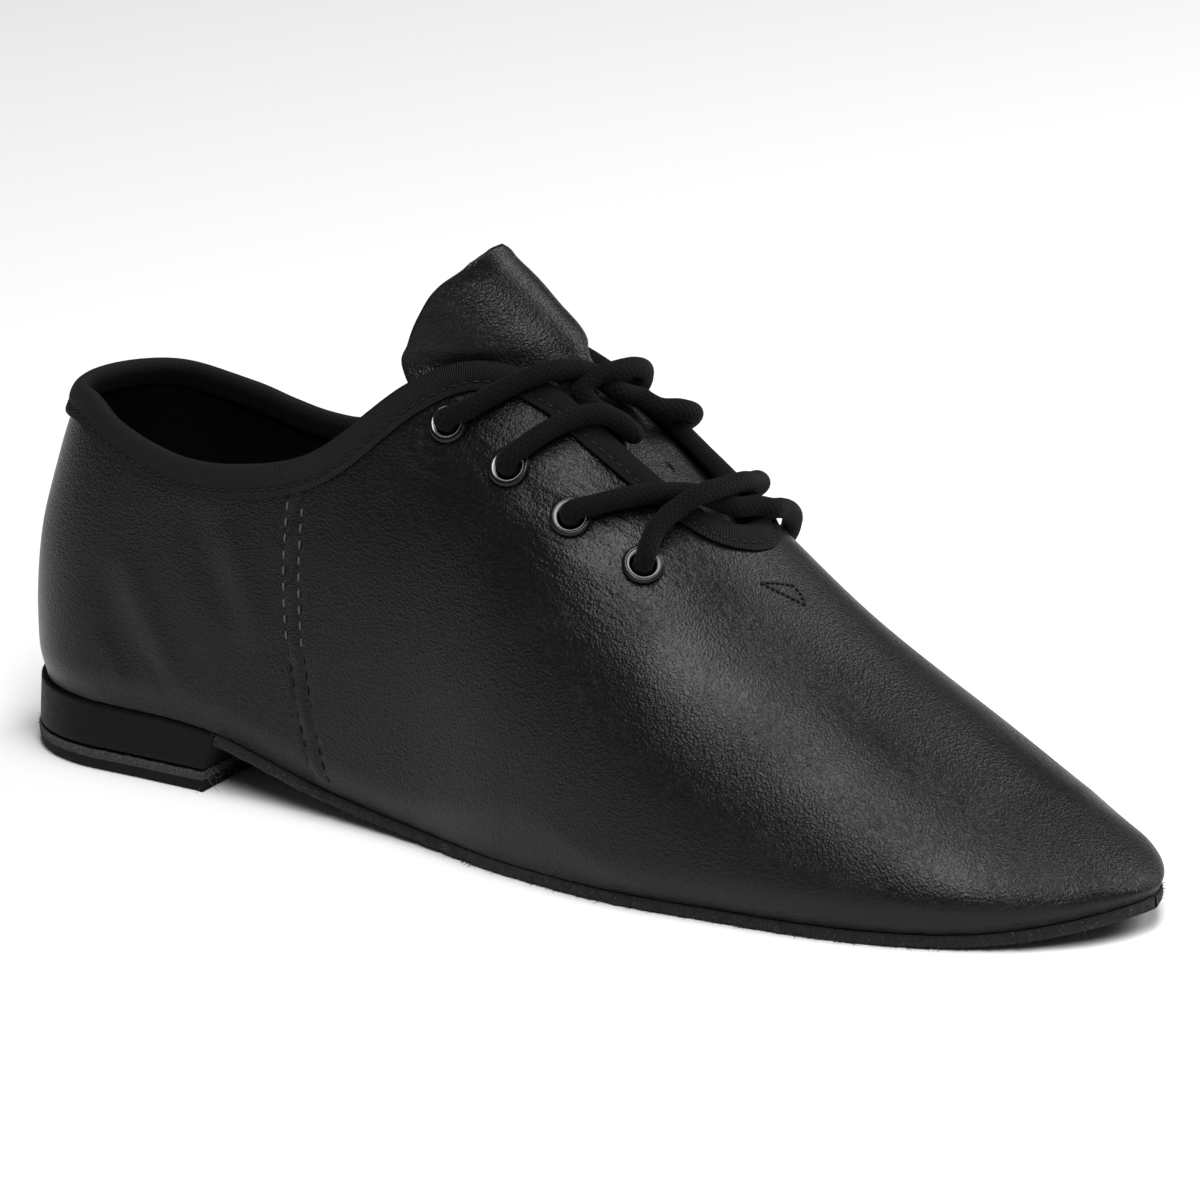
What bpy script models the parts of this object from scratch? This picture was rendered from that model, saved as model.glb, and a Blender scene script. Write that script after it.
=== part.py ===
"""A soft lace-up jazz shoe for the right foot, as solids.

The toe points to +X, the outer side of the foot is -Y and +Z is up. The origin is on the floor,
under the middle of the heel. All lengths are in metres.
"""
from collections import namedtuple

import bmesh
import bpy
import numpy as np

# Last: the form that the leather is pulled over
LENGTH = 0.268            # heel's back to toe tip
BALL_WIDTH = 0.088        # across the ball of the foot
INSTEP_HEIGHT = 0.1185    # top line of the last over the floor, behind the throat
HEEL_HEIGHT = 0.0160      # floor to the leather at the heel's back
TOE_SPRING = 0.0058       # lift of the toe's lower edge over the forefoot's
HEEL_ROUND = 0.027        # length of the rounding in plan at the heel
TOE_ROUND = 0.078         # length of the rounding in plan at the toe
TOE_DROP = 0.030          # length over which the toe's top comes down to its tip
TUCK = 0.0030             # how far the leather turns in under the foot
TUCK_HEIGHT = 0.0090      # height over which it turns in
BACK_REACH = 0.090        # how far forward the heel curve's lean is felt
TOE_REACH = 0.040         # how far back the toe's turn-in is felt
RIDGE_POWER = 1.95        # roundness of a section across its top line
HEEL_POWER = 2.2          # roundness of the heel in plan, 2 for an ellipse
TOE_POWER = 2.3           # roundness of the toe in plan
DROP_POWER = 2.2          # roundness of the toe from the side
CREST = 1.15              # how far an inner surface lies below the top line, in insets
CREST_RISE = 0.998        # nearest to the top line that an outward direction is taken

# Leather, soles and heel
GAP = 0.0003              # clearance between pieces that meet
WALL = 0.0013             # leather of the upper
LAP = 0.0007              # step where the vamp laps over the quarter
MARGIN = 0.0100           # leather turned under the foot, which the sole is cemented to
SOLE = 0.0026             # suede sole
SOLE_PROUD = 0.0004       # how far the sole's edge stands out from the leather's fold
LIFT = 0.0046             # top lift, the layer of the heel that wears
LIFT_LIP = 0.0006         # how far the top lift stands out from the heel block
LIFT_UNDERCUT = 0.0006    # how far its worn lower edge is drawn in
LIFT_WEAR = 0.6           # share of its height that slopes in
BLOCK_FLARE = 0.0004      # how far the heel block spreads towards its foot
HEEL_BACK_HALF = 0.0008   # half width of the heel's rearmost edge
HEEL_BACK = 0.0004        # its distance from the heel's back
BREAST = 0.0555           # heel's back to the front of the heel, at its top
BREAST_RAKE = 0.0030      # how far that front leans back towards the floor
INSOLE = 0.0020
SOCK_GAP = 0.0016         # clearance of the insole's edge inside the leather
SOCK_TOE = 0.0060         # how far its tip stays back from the toe
NARROWEST = 0.0005        # least half width of a layer's rounded end
TONGUE = 0.0020

# Collar, throat and tongue
THROAT_FOOT = 0.1675      # heel's back to the foot of the throat
SEAM_FOOT = 0.0817        # heel's back to the side seam, at the sole
SEAM_TOP = 0.0717         # the same, at the collar
SEAM_SWEEP = 2.2          # how much of the seam's slope lies near the sole, 1 for a straight seam
SEAM_STEP = 0.0008        # width of the seam's step
BINDING_DEPTH = 0.0048    # how far the tape reaches down the leather
BINDING = 0.0007          # thickness of the tape
BINDING_ROUND = 0.3       # share of the tape's height by which its top is rounded
TONGUE_FOOT = 0.1860      # heel's back to the tongue's hidden end
TONGUE_BEND = 0.1280      # heel's back to where the tongue stands up
TONGUE_HALF = 0.0205      # half of the tongue's width
TONGUE_SWEEP = 0.0160     # how far its edges lie behind its middle at the bend
TONGUE_TWIST = 0.0150     # how far its outer edge lies behind that, and its inner one before it
TONGUE_SHIFT = 0.0040     # how far it has slid to the outer side at the bend

# Eyelets and laces
EYELET_REACH = 0.0355     # top line to the farthest eyelets, over the leather
EYELET_BORE = 0.0058
EYELET_FLANGE = 0.0088
EYELET_METAL = 0.0004     # wall of the eyelet's barrel
EYELET_CROWN = 0.0007     # height of its flange
EYELET_ROUND = 0.0004     # rounding of the flange at the bore
EYELET_RIM = 0.0003       # rounding of the flange at its rim
PUNCH_REACH = 0.004       # half the length of the punch that cuts the leather
INNER_AHEAD = 0.0024      # how far the inner side's eyelets lie ahead of the outer side's
LACE = 0.0043

# Smoothness of the facets
SLOPE_STEP = 0.0001       # small step for slopes on the last
ARC_POINTS = 400          # points along a section, for distances over the leather
ARC_END = 0.2             # share of the height where they end
DENSE = 600               # points along an edge, for even columns
EDGE_SHARE = 0.08         # top share of a column that the binding's depth is measured on
HEEL_POINTS = 16          # points on each side of the heel's outline
SHARP_ANGLE = 50          # degrees
COLUMNS_BACK = 13         # from the heel's back to the seam, on each side
COLUMNS_FRONT = 27        # from the seam to the toe tip, on each side
ROWS = 9                  # from the sole to the binding
SOLE_STATIONS = 34
EYELET_SIDES = 16
LACE_SIDES = 8
LACE_STEPS = 2            # sections from one row of a lace's table to the next
TONGUE_COLUMNS = 13
TONGUE_ROWS = 9

BALL_HALF = BALL_WIDTH / 2
HEEL_MIDDLE = BREAST / 2
FLAT_HEIGHT = SOLE + GAP
INNER_FACE = LAP + WALL + 3 * GAP   # depth at which what lies inside the leather starts
SMALLEST = 1e-6

# Columns of the vamp fan out from the throat, by shares of the length
FAN_START = 0.32
FAN_REACH = 0.30

# Sections along the foot. along: share of the length. lateral, medial: half widths, and lean:
# place of the top line towards the inner side, all as shares of half the ball's width. ridge:
# height of the top line as a share of the instep height. heel: how much of the heel's height is
# left. spring: how much of the toe spring is reached. fullness: how square the section is.
Section = namedtuple("Section", "along lateral medial lean ridge heel spring fullness")
SECTIONS = [
    Section(0.00, 0.590, 0.620, 0.00, 0.990, 1.000, 0.00, 2.25),
    Section(0.10, 0.575, 0.640, 0.00, 1.000, 0.940, 0.00, 2.25),
    Section(0.20, 0.605, 0.645, 0.00, 1.000, 0.850, 0.00, 2.25),
    Section(0.30, 0.640, 0.640, 0.04, 0.975, 0.340, 0.00, 2.30),
    Section(0.40, 0.730, 0.670, 0.14, 0.925, 0.070, 0.00, 2.50),
    Section(0.50, 0.895, 0.785, 0.20, 0.805, 0.000, 0.00, 2.70),
    Section(0.60, 0.985, 0.920, 0.18, 0.627, 0.000, 0.00, 2.55),
    Section(0.70, 0.960, 1.000, 0.12, 0.448, 0.000, 0.00, 2.30),
    Section(0.80, 0.925, 0.980, 0.07, 0.312, 0.000, 0.00, 2.25),
    Section(0.90, 0.860, 0.890, 0.04, 0.196, 0.000, 0.17, 2.25),
    Section(1.00, 0.785, 0.780, 0.03, 0.120, 0.000, 1.00, 2.25),
]

# Back of the heel. height: share of the instep height. forward: share of the length by which the
# back has come forward there.
Bend = namedtuple("Bend", "height forward")
HEEL_CURVE = [
    Bend(0.10, 0.0035),
    Bend(0.18, 0.0020),
    Bend(0.30, 0.0010),
    Bend(0.42, 0.0065),
    Bend(0.52, 0.0180),
    Bend(0.62, 0.0315),
    Bend(0.72, 0.0500),
]

# Upper edge of the leather, from the heel's back to the throat's foot. along: share of the way
# from the one to the other. outer, inner: the edge's height on each side, as a share of the
# height between the sole and the top line.
Edge = namedtuple("Edge", "along outer inner")
EDGE = [
    Edge(0.000, 0.634, 0.634),
    Edge(0.066, 0.640, 0.623),
    Edge(0.140, 0.595, 0.595),
    Edge(0.200, 0.565, 0.578),
    Edge(0.255, 0.549, 0.557),
    Edge(0.305, 0.551, 0.546),
    Edge(0.365, 0.574, 0.556),
    Edge(0.416, 0.605, 0.592),
    Edge(0.460, 0.643, 0.640),
    Edge(0.518, 0.718, 0.718),
    Edge(0.590, 0.834, 0.834),
    Edge(0.650, 0.908, 0.908),
    Edge(0.710, 0.948, 0.948),
    Edge(0.770, 0.962, 0.962),
    Edge(0.832, 0.964, 0.964),
    Edge(0.890, 0.970, 0.970),
    Edge(0.940, 0.979, 0.979),
    Edge(0.975, 0.988, 0.988),
    Edge(1.000, 1.000, 1.000),
]

# Free part of the tongue, above its bend, which is turned towards the outer side. forward: share
# of the way from the heel's back to the bend. height: share of the instep height. middle, half:
# place and half width of the row across the foot, as shares of the tongue's half width. twist,
# sweep: how its edges lie before or behind its middle, also as shares of its half width.
Flap = namedtuple("Flap", "forward height middle half twist sweep")
TONGUE_FLAP = [
    Flap(0.984, 0.818, 0.010, 0.600, 0.750, 0.740),
    Flap(0.966, 0.862, 0.030, 0.610, 0.680, 0.640),
    Flap(0.926, 0.913, 0.050, 0.580, 0.480, 0.490),
    Flap(0.886, 0.966, 0.090, 0.500, 0.250, 0.300),
    Flap(0.866, 0.998, 0.150, 0.400, 0.080, 0.160),
    Flap(0.856, 1.016, 0.180, 0.300, 0.030, 0.080),
    Flap(0.852, 1.023, 0.190, 0.190, 0.010, 0.030),
]

# Eyelets on each side, from the top one down. along: share of the way from the heel's back to
# the throat's foot. arc: distance from the top line over the leather, as a share of the
# eyelets' reach.
Eyelet = namedtuple("Eyelet", "along arc")
EYELETS = [
    Eyelet(0.659, 0.93),
    Eyelet(0.754, 1.00),
    Eyelet(0.846, 1.01),
    Eyelet(0.941, 0.88),
]

# Strands of the lace outside the shoe, from eyelet to eyelet. along and arc: as for the eyelets,
# plus on the inner side. lift: height of the strand's middle off the leather, in diameters of the lace.
Lay = namedtuple("Lay", "along arc lift")
LOWER_OVER = [
    Lay(0.941, -0.88, 0.90),
    Lay(0.936, -0.72, 0.88),
    Lay(0.941, -0.53, 1.05),
    Lay(0.950, -0.36, 1.40),
    Lay(0.959, -0.18, 1.28),
    Lay(0.964, 0.00, 1.00),
    Lay(0.963, 0.14, 0.84),
    Lay(0.956, 0.29, 0.80),
    Lay(0.944, 0.46, 0.80),
    Lay(0.921, 0.66, 0.84),
    Lay(0.893, 0.84, 0.90),
    Lay(0.860, 1.01, 0.90),
]
LOWER_UNDER = [
    Lay(0.846, -1.01, 0.90),
    Lay(0.873, -0.84, 0.84),
    Lay(0.901, -0.63, 0.78),
    Lay(0.927, -0.44, 0.78),
    Lay(0.946, -0.30, 0.72),
    Lay(0.963, -0.18, 0.50),
    Lay(0.978, -0.07, 0.50),
    Lay(0.990, 0.02, 0.68),
    Lay(0.996, 0.12, 0.78),
    Lay(0.995, 0.26, 0.78),
    Lay(0.987, 0.46, 0.80),
    Lay(0.972, 0.68, 0.86),
    Lay(0.955, 0.88, 0.90),
]
UPPER_OVER = [
    Lay(0.754, -1.00, 0.90),
    Lay(0.772, -0.84, 0.85),
    Lay(0.789, -0.68, 0.80),
    Lay(0.805, -0.54, 0.82),
    Lay(0.823, -0.42, 0.80),
    Lay(0.843, -0.34, 0.56),
    Lay(0.859, -0.28, 0.12),
    Lay(0.850, -0.25, -0.26),
    Lay(0.828, -0.27, -0.28),
    Lay(0.806, -0.31, -0.26),
    Lay(0.789, -0.28, 0.02),
    Lay(0.791, -0.19, 0.42),
    Lay(0.800, -0.09, 0.68),
    Lay(0.806, 0.03, 0.76),
    Lay(0.805, 0.16, 0.78),
    Lay(0.795, 0.31, 0.78),
    Lay(0.777, 0.50, 0.84),
    Lay(0.748, 0.68, 0.88),
    Lay(0.712, 0.82, 0.90),
    Lay(0.673, 0.93, 0.90),
]
UPPER_UNDER = [
    Lay(0.768, 1.00, 0.90),
    Lay(0.798, 0.80, 0.88),
    Lay(0.829, 0.58, 0.86),
    Lay(0.852, 0.40, 0.84),
    Lay(0.863, 0.27, 0.86),
    Lay(0.862, 0.15, 0.66),
    Lay(0.852, 0.06, 0.20),
    Lay(0.834, 0.01, -0.08),
    Lay(0.812, -0.04, -0.02),
    Lay(0.790, -0.13, 0.12),
    Lay(0.772, -0.25, 0.50),
    Lay(0.754, -0.39, 0.80),
    Lay(0.732, -0.54, 0.80),
    Lay(0.705, -0.72, 0.82),
    Lay(0.684, -0.84, 0.84),
    Lay(0.659, -0.93, 0.90),
]
Knot = namedtuple("Knot", "step x y z")


def smooth(rows, key, value, at):
    """A cubic curve through a table's rows, with the mean slope of its neighbours at each row."""
    knots = np.array([getattr(row, key) for row in rows])
    values = np.array([getattr(row, value) for row in rows])
    slopes = np.gradient(values, knots)
    at = np.clip(at, knots[0], knots[-1])
    i = np.clip(np.searchsorted(knots, at, side="right") - 1, 0, len(knots) - 2)
    step = knots[i + 1] - knots[i]
    t = (at - knots[i]) / step
    return (values[i] * (1 + 2 * t) * (1 - t) ** 2 + values[i + 1] * t * t * (3 - 2 * t)
            + step * t * (1 - t) * (slopes[i] * (1 - t) - slopes[i + 1] * t))


def round_end(t, power):
    """Falls from 1 to 0 as t goes from 0 to 1, ending square to the axis."""
    return np.sqrt(np.clip(1 - np.clip(t, 0, 1) ** power, 0, 1))


def unit(v):
    return v / np.linalg.norm(v, axis=-1, keepdims=True)


def half_width(x, side):
    """Distance from the axis to the outline at its widest, x from the heel's back."""
    share = x / LENGTH
    width = np.where(np.less(side, 0), smooth(SECTIONS, "along", "lateral", share),
                     smooth(SECTIONS, "along", "medial", share))
    return (BALL_HALF * width * round_end(1 - x / HEEL_ROUND, HEEL_POWER)
            * round_end((x - LENGTH + TOE_ROUND) / TOE_ROUND, TOE_POWER))


def lean(x):
    return BALL_HALF * smooth(SECTIONS, "along", "lean", x / LENGTH)


def feather(x):
    """Height of the fold where the leather meets the sole: flat under the ball of the foot."""
    heel = np.clip(smooth(SECTIONS, "along", "heel", x / LENGTH), 0, None)
    spring = np.clip(smooth(SECTIONS, "along", "spring", x / LENGTH), 0, None)
    return FLAT_HEIGHT + (HEEL_HEIGHT - FLAT_HEIGHT) * heel + TOE_SPRING * spring


def ridge(x):
    """Height of the top line, which falls round to the fold at the toe tip."""
    low = feather(x)
    top = INSTEP_HEIGHT * smooth(SECTIONS, "along", "ridge", x / LENGTH)
    return low + (top - low) * round_end((x - LENGTH + TOE_DROP) / TOE_DROP, DROP_POWER)


def spread_of(rise, x):
    """Share of the half width that is left at a share of the height: 1 at the sole, 0 on top."""
    fullness = smooth(SECTIONS, "along", "fullness", x / LENGTH)
    return np.clip(1 - np.clip(rise, 0, 1) ** fullness, 0, 1) ** (1 / RIDGE_POWER)


def rise_of(spread, x):
    """The inverse of spread_of."""
    fullness = smooth(SECTIONS, "along", "fullness", x / LENGTH)
    return np.clip(1 - np.clip(spread, 0, 1) ** RIDGE_POWER, 0, 1) ** (1 / fullness)


def last(x, side, rise, inset=0.0):
    """A point of the last's surface, or of a surface that lies within it by the inset.

    x runs from the heel's back, side is -1 on the outer side and 1 on the inner, and rise is the
    share of the height between the sole and the top line.
    """
    sole_line = feather(x)
    low = sole_line + np.clip(inset, 0, None)
    high = np.maximum(ridge(x) - CREST * inset, low)
    z = low + rise * (high - low)
    spread = spread_of(rise, x)
    tuck = TUCK * np.clip(1 - (z - sole_line) / TUCK_HEIGHT, 0, 1) ** 2
    width = np.clip(half_width(x, side) - tuck - inset, 0, None)
    y = side * width * spread + lean(x) * (1 - spread)
    back = LENGTH * smooth(HEEL_CURVE, "height", "forward", z / INSTEP_HEIGHT)
    forward = (inset + x * (LENGTH - 2 * inset) / LENGTH
               + back * np.clip(1 - x / BACK_REACH, 0, 1)
               - tuck * np.clip((x - LENGTH + TOE_REACH) / TOE_REACH, 0, 1) ** 2)
    return np.stack(np.broadcast_arrays(forward, y, z), -1)


def edge_rise(x, side):
    """Share of the height at which the leather ends, at the collar and the throat."""
    return smooth(EDGE, "along", "outer" if side < 0 else "inner", x / THROAT_FOOT)


def surface_normal(x, side, rise, inset=0.0):
    """Outward direction on the last."""
    d = SLOPE_STEP
    along = last(x + d, side, rise, inset) - last(x - d, side, rise, inset)
    up = last(x, side, rise + d, inset) - last(x, side, rise - d, inset)
    return unit(np.cross(along, up) * np.asarray(side)[..., None] * -1)


def over(x, arc, lift=0.0, inset=0.0):
    """A point at an arc from the top line, minus on the outer side, and a lift off the leather."""
    side = -1.0 if arc < 0 else 1.0
    rises = np.linspace(1, ARC_END, ARC_POINTS)
    line = last(np.full_like(rises, x), side, rises, inset)
    run = np.concatenate([[0], np.cumsum(np.linalg.norm(np.diff(line, axis=0), axis=1))])
    rise = min(np.interp(abs(arc), run, rises), CREST_RISE)
    normal = surface_normal(x, side, rise, inset)
    return last(x, side, rise, inset) + lift * normal, normal


def even_steps(points, xs, marks, counts):
    """Values of xs at even lengths along a line of points, between the marked values."""
    run = np.concatenate([[0], np.cumsum(np.linalg.norm(np.diff(points, axis=0), axis=1))])
    stops = np.interp(marks, xs, run)
    steps = [np.linspace(a, b, n, endpoint=False) for a, b, n in zip(stops, stops[1:], counts)]
    return np.interp(np.concatenate(steps + [stops[-1:]]), run, xs)


def columns(side):
    """Where the grid's columns start at the sole and end at the upper edge, heel to toe."""
    dense = (1 - np.cos(np.linspace(0, np.pi, DENSE))) / 2
    counts = (COLUMNS_BACK, COLUMNS_FRONT)
    low = LENGTH * dense
    foot = even_steps(last(low, side, np.zeros_like(low)), low, (0, SEAM_FOOT, LENGTH), counts)
    high = THROAT_FOOT * dense
    top = even_steps(last(high, side, edge_rise(high, side)), high,
                     (0, SEAM_TOP, THROAT_FOOT), counts)
    foot = np.insert(foot, COLUMNS_BACK + 1, SEAM_FOOT + SEAM_STEP)
    top = np.insert(top, COLUMNS_BACK + 1, SEAM_TOP + SEAM_STEP)
    return foot, top


def place(foot, top, side, v):
    """Section and rise of the grid's points. v runs from 0 at the sole to 1 at the upper edge.

    On the quarters the columns stand up, and sweep forward near the sole. On the vamp each column
    is a straight line as seen from above, from the sole's outline to the throat, so the columns
    fan out round the toe.
    """
    fan = np.clip((foot / LENGTH - FAN_START) / FAN_REACH, 0, 1)
    fan = fan * fan * (3 - 2 * fan)
    top_rise = edge_rise(top, side)
    t = (1 - fan) * (1 - (1 - v) ** SEAM_SWEEP) + fan * v * v
    x = foot + (top - foot) * t
    wide = half_width(foot, side)
    narrow = half_width(top, side) * spread_of(top_rise, top)
    spread = (wide + (narrow - wide) * t) / np.maximum(half_width(x, side), SMALLEST)
    fanned = np.where(v > 0, rise_of(spread, x), 0.0)
    return x, (1 - fan) * v * top_rise + fan * fanned


def shell(side, inset_back, inset_front):
    """Grid of points over one side, columns by rows. The last two rows bound the binding."""
    foot, top = columns(side)
    inset = np.where(np.arange(len(foot)) <= COLUMNS_BACK, inset_back, inset_front)
    near_top = [last(*placed, inset) for placed in
                ((x, side, r) for x, r in (place(foot, top, side, np.full_like(foot, v))
                                           for v in (1 - EDGE_SHARE, 1.0)))]
    depth = BINDING_DEPTH * EDGE_SHARE / np.linalg.norm(near_top[1] - near_top[0], axis=1)
    v = np.concatenate([np.linspace(0, 1, ROWS)[None, :] * (1 - depth)[:, None],
                        np.ones((len(foot), 1))], axis=1)
    x, rise = place(foot[:, None], top[:, None], side, v)
    return last(x, side, rise, inset[:, None])


def ring(inset_back, inset_front):
    """The grid all the way round: up the outer side to the toe and back down the inner side."""
    outer = shell(-1.0, inset_back, inset_front)
    inner = shell(1.0, inset_back, inset_front)
    return np.concatenate([outer, inner[-2:0:-1]])


def build(name, points, faces, colour, roughness, metallic=0.0):
    """A mesh object from points given from the heel's back, with faces turned outwards."""
    mesh = bpy.data.meshes.new(name)
    points = np.asarray(points) - (HEEL_MIDDLE, 0, 0)
    mesh.from_pydata(points.tolist(), [], faces)
    bm = bmesh.new()
    bm.from_mesh(mesh)
    bmesh.ops.recalc_face_normals(bm, faces=bm.faces)
    bm.to_mesh(mesh)
    bm.free()
    mesh.shade_smooth()
    mesh.set_sharp_from_angle(angle=np.radians(SHARP_ANGLE))
    material = bpy.data.materials.new(name)
    material.use_nodes = True
    shader = material.node_tree.nodes["Principled BSDF"]
    shader.inputs["Base Color"].default_value = (*colour, 1)
    shader.inputs["Roughness"].default_value = roughness
    shader.inputs["Metallic"].default_value = metallic
    mesh.materials.append(material)
    piece = bpy.data.objects.new(name, mesh)
    bpy.context.scene.collection.objects.link(piece)
    return piece


def loft(name, sections, look, closed=False):
    """A solid through closed sections, joined up to a ring or capped at both ends."""
    n, m = sections.shape[:2]
    faces = []
    for i in range(n if closed else n - 1):
        k = (i + 1) % n
        for j in range(m):
            l = (j + 1) % m
            faces.append((i * m + j, k * m + j, k * m + l, i * m + l))
    if not closed:
        faces.append(tuple(range(m)))
        faces.append(tuple(range((n - 1) * m, n * m)))
    return build(name, sections.reshape(-1, 3), faces, *look)


LEATHER = ((0.012, 0.012, 0.013), 0.42)
TAPE = ((0.016, 0.016, 0.017), 0.75)
SUEDE = ((0.018, 0.017, 0.017), 0.95)
HEEL_BLACK = ((0.014, 0.014, 0.014), 0.55)
RUBBER = ((0.016, 0.016, 0.016), 0.75)
LINING = ((0.020, 0.020, 0.021), 0.85)
BLACK_METAL = ((0.030, 0.030, 0.032), 0.30, 0.9)
CORD = ((0.018, 0.018, 0.019), 0.85)


def upper():
    """One hollow solid: walls, turned-in margin under the foot, and an open top and underside."""
    outside = ring(LAP, 0.0)
    inside = ring(LAP + WALL, LAP + WALL)
    for grid, height in ((outside, 0.0), (inside, WALL)):
        grid[:, 0, 2] = feather(grid[:, 0, 0]) + height
    fold = outside[:, 0]
    tangent = unit((np.roll(fold, -1, 0) - np.roll(fold, 1, 0))[:, :2])
    inward = np.stack([-tangent[:, 1], tangent[:, 0]], 1)
    under = fold.copy()
    under[:, :2] += MARGIN * inward
    under[:, 2] = feather(under[:, 0])
    above = under + (0, 0, WALL)
    sections = np.concatenate([outside, inside[:, ::-1], above[:, None], under[:, None]], axis=1)
    return loft("upper", sections, LEATHER, closed=True)


def binding():
    """Grosgrain tape folded over the edge, all round the collar and the throat."""
    outside = ring(LAP, 0.0)[:, -2:]
    inside = ring(LAP + WALL, LAP + WALL)[:, -2:]
    out = unit(outside - inside)
    up = unit(outside[:, 1] - outside[:, 0])
    near, far = GAP, GAP + BINDING
    low, top = 0, 1
    profile = [
        outside[:, low] + far * out[:, low],
        outside[:, top] + far * out[:, top],
        outside[:, top] + far * up + BINDING_ROUND * far * out[:, top],
        inside[:, top] + far * up - BINDING_ROUND * far * out[:, top],
        inside[:, top] - far * out[:, top],
        inside[:, low] - far * out[:, low],
        inside[:, low] - near * out[:, low],
        inside[:, top] - near * out[:, top] + near * up,
        outside[:, top] + near * out[:, top] + near * up,
        outside[:, low] + near * out[:, low],
    ]
    return loft("collar_binding", np.stack(profile, 1), TAPE, closed=True)


def fold_line(x, side, grow):
    """Outline of the leather's fold at the heel, grown outwards in plan."""
    return side * (half_width(x, side) - TUCK + grow)


def slab(x, grow, low, high):
    """Sections of a flat layer under the foot, whose outline is the fold's, grown in plan."""
    x = x[np.minimum(half_width(x, -1), half_width(x, 1)) > TUCK - grow + NARROWEST]
    sections = []
    for side, height in ((-1, low), (-1, high), (1, high), (1, low)):
        outline = last(x, side, 0.0, -grow)
        outline[:, 2] = feather(outline[:, 0]) + height
        sections.append(outline)
    return np.stack(sections, 1)


def sole():
    """Suede sole from the front of the heel, down the waist and on to the toe."""
    share = np.linspace(0, 1, SOLE_STATIONS)
    x = LENGTH - (LENGTH - BREAST - GAP) * (1 - share) ** 2
    return loft("sole", slab(x, SOLE_PROUD, -GAP - SOLE, -GAP), SUEDE)


def insole():
    """Cushioned sock that lies on the turned-in margin."""
    x = (LENGTH - SOCK_TOE) * (1 - np.cos(np.linspace(0, np.pi, SOLE_STATIONS))) / 2
    low = WALL + GAP
    return loft("insole", slab(x, -LAP - WALL - SOCK_GAP, low, low + INSOLE), LINING)


def heel_outline(grow, front):
    """Outline of the heel from above: round at the back, straight across its front."""
    t = np.linspace(0, 1, HEEL_POINTS) ** 2
    x = t * (front - HEEL_BACK) + HEEL_BACK
    centre = np.array([HEEL_MIDDLE, 0.0])
    rows = []
    for side, order in ((-1, slice(None)), (1, slice(None, None, -1))):
        y = fold_line(x, side, 0.0)
        y = side * np.maximum(side * y, HEEL_BACK_HALF)
        rows.append(np.stack([x, y], -1)[order])
    outline = np.concatenate(rows)
    away = unit(outline - centre)
    return outline + grow * away * (np.abs(outline[:, :1] - front) > SMALLEST)


def heel_layer(name, levels, look):
    """A layer of the heel through outlines at several heights."""
    sections = []
    for height, grow, front in levels:
        outline = heel_outline(grow, front)
        z = height(outline[:, 0]) if callable(height) else np.full(len(outline), height)
        sections.append(np.column_stack([outline, z]))
    return loft(name, np.stack(sections), look)


def heel():
    lift_front = BREAST - BREAST_RAKE
    block_foot = LIFT + GAP
    heel_layer("heel_block", [
        (block_foot, BLOCK_FLARE, lift_front),
        (lambda x: feather(x) - GAP, 0.0, BREAST),
    ], HEEL_BLACK)
    heel_layer("heel_top_lift", [
        (0.0, -LIFT_UNDERCUT, lift_front),
        (LIFT_WEAR * LIFT, LIFT_LIP, lift_front),
        (LIFT, LIFT_LIP, lift_front),
    ], RUBBER)


def grid_normals(points):
    """Directions square to a grid of points, on the side that its rows and columns turn to."""
    return unit(np.cross(np.gradient(points, axis=0), np.gradient(points, axis=1)))


def tongue():
    """A curved flap under the facings, which stands up behind the laces."""
    inset = INNER_FACE + BINDING
    across = np.linspace(-1, 1, TONGUE_COLUMNS)
    hidden = []
    for share in np.linspace(0, 1, TONGUE_ROWS):
        middle = TONGUE_FOOT + share * (TONGUE_BEND - TONGUE_FOOT)
        swept = middle + share ** 2 * (TONGUE_TWIST * across - TONGUE_SWEEP * across ** 2)
        arcs = TONGUE_HALF * across - TONGUE_SHIFT * share ** 2
        hidden.append([over(x, arc, 0.0, inset)[0] for x, arc in zip(swept, arcs)])
    free = []
    for flap in TONGUE_FLAP:
        x = flap.forward * TONGUE_BEND + TONGUE_HALF * (flap.twist * across - flap.sweep * across ** 2)
        y = TONGUE_HALF * (flap.middle + flap.half * across)
        free.append(np.stack([x, y, np.full_like(x, flap.height * INSTEP_HEIGHT)], -1))
    front = np.array(hidden + free)
    back = front + TONGUE * grid_normals(front)
    return loft("tongue", np.concatenate([front, back[:, ::-1]], axis=1), LEATHER)


def eyelet_seat(side, row):
    """Where an eyelet's middle meets the leather, and the direction it faces."""
    ahead = INNER_AHEAD if side > 0 else 0.0
    return over(EYELETS[row].along * THROAT_FOOT + ahead, side * EYELETS[row].arc * EYELET_REACH)


def turned(name, centre, axis, profile, look):
    """A ring turned round an axis from a profile of radius and height."""
    across = unit(np.cross(axis, (0.0, 0.0, 1.0)))
    other = np.cross(axis, across)
    angle = np.linspace(0, 2 * np.pi, EYELET_SIDES, endpoint=False)[:, None, None]
    radius, height = profile[:, 0, None], profile[:, 1, None]
    sections = centre + radius * (np.cos(angle) * across + np.sin(angle) * other) + height * axis
    return loft(name, sections, look, closed=True)


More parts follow.
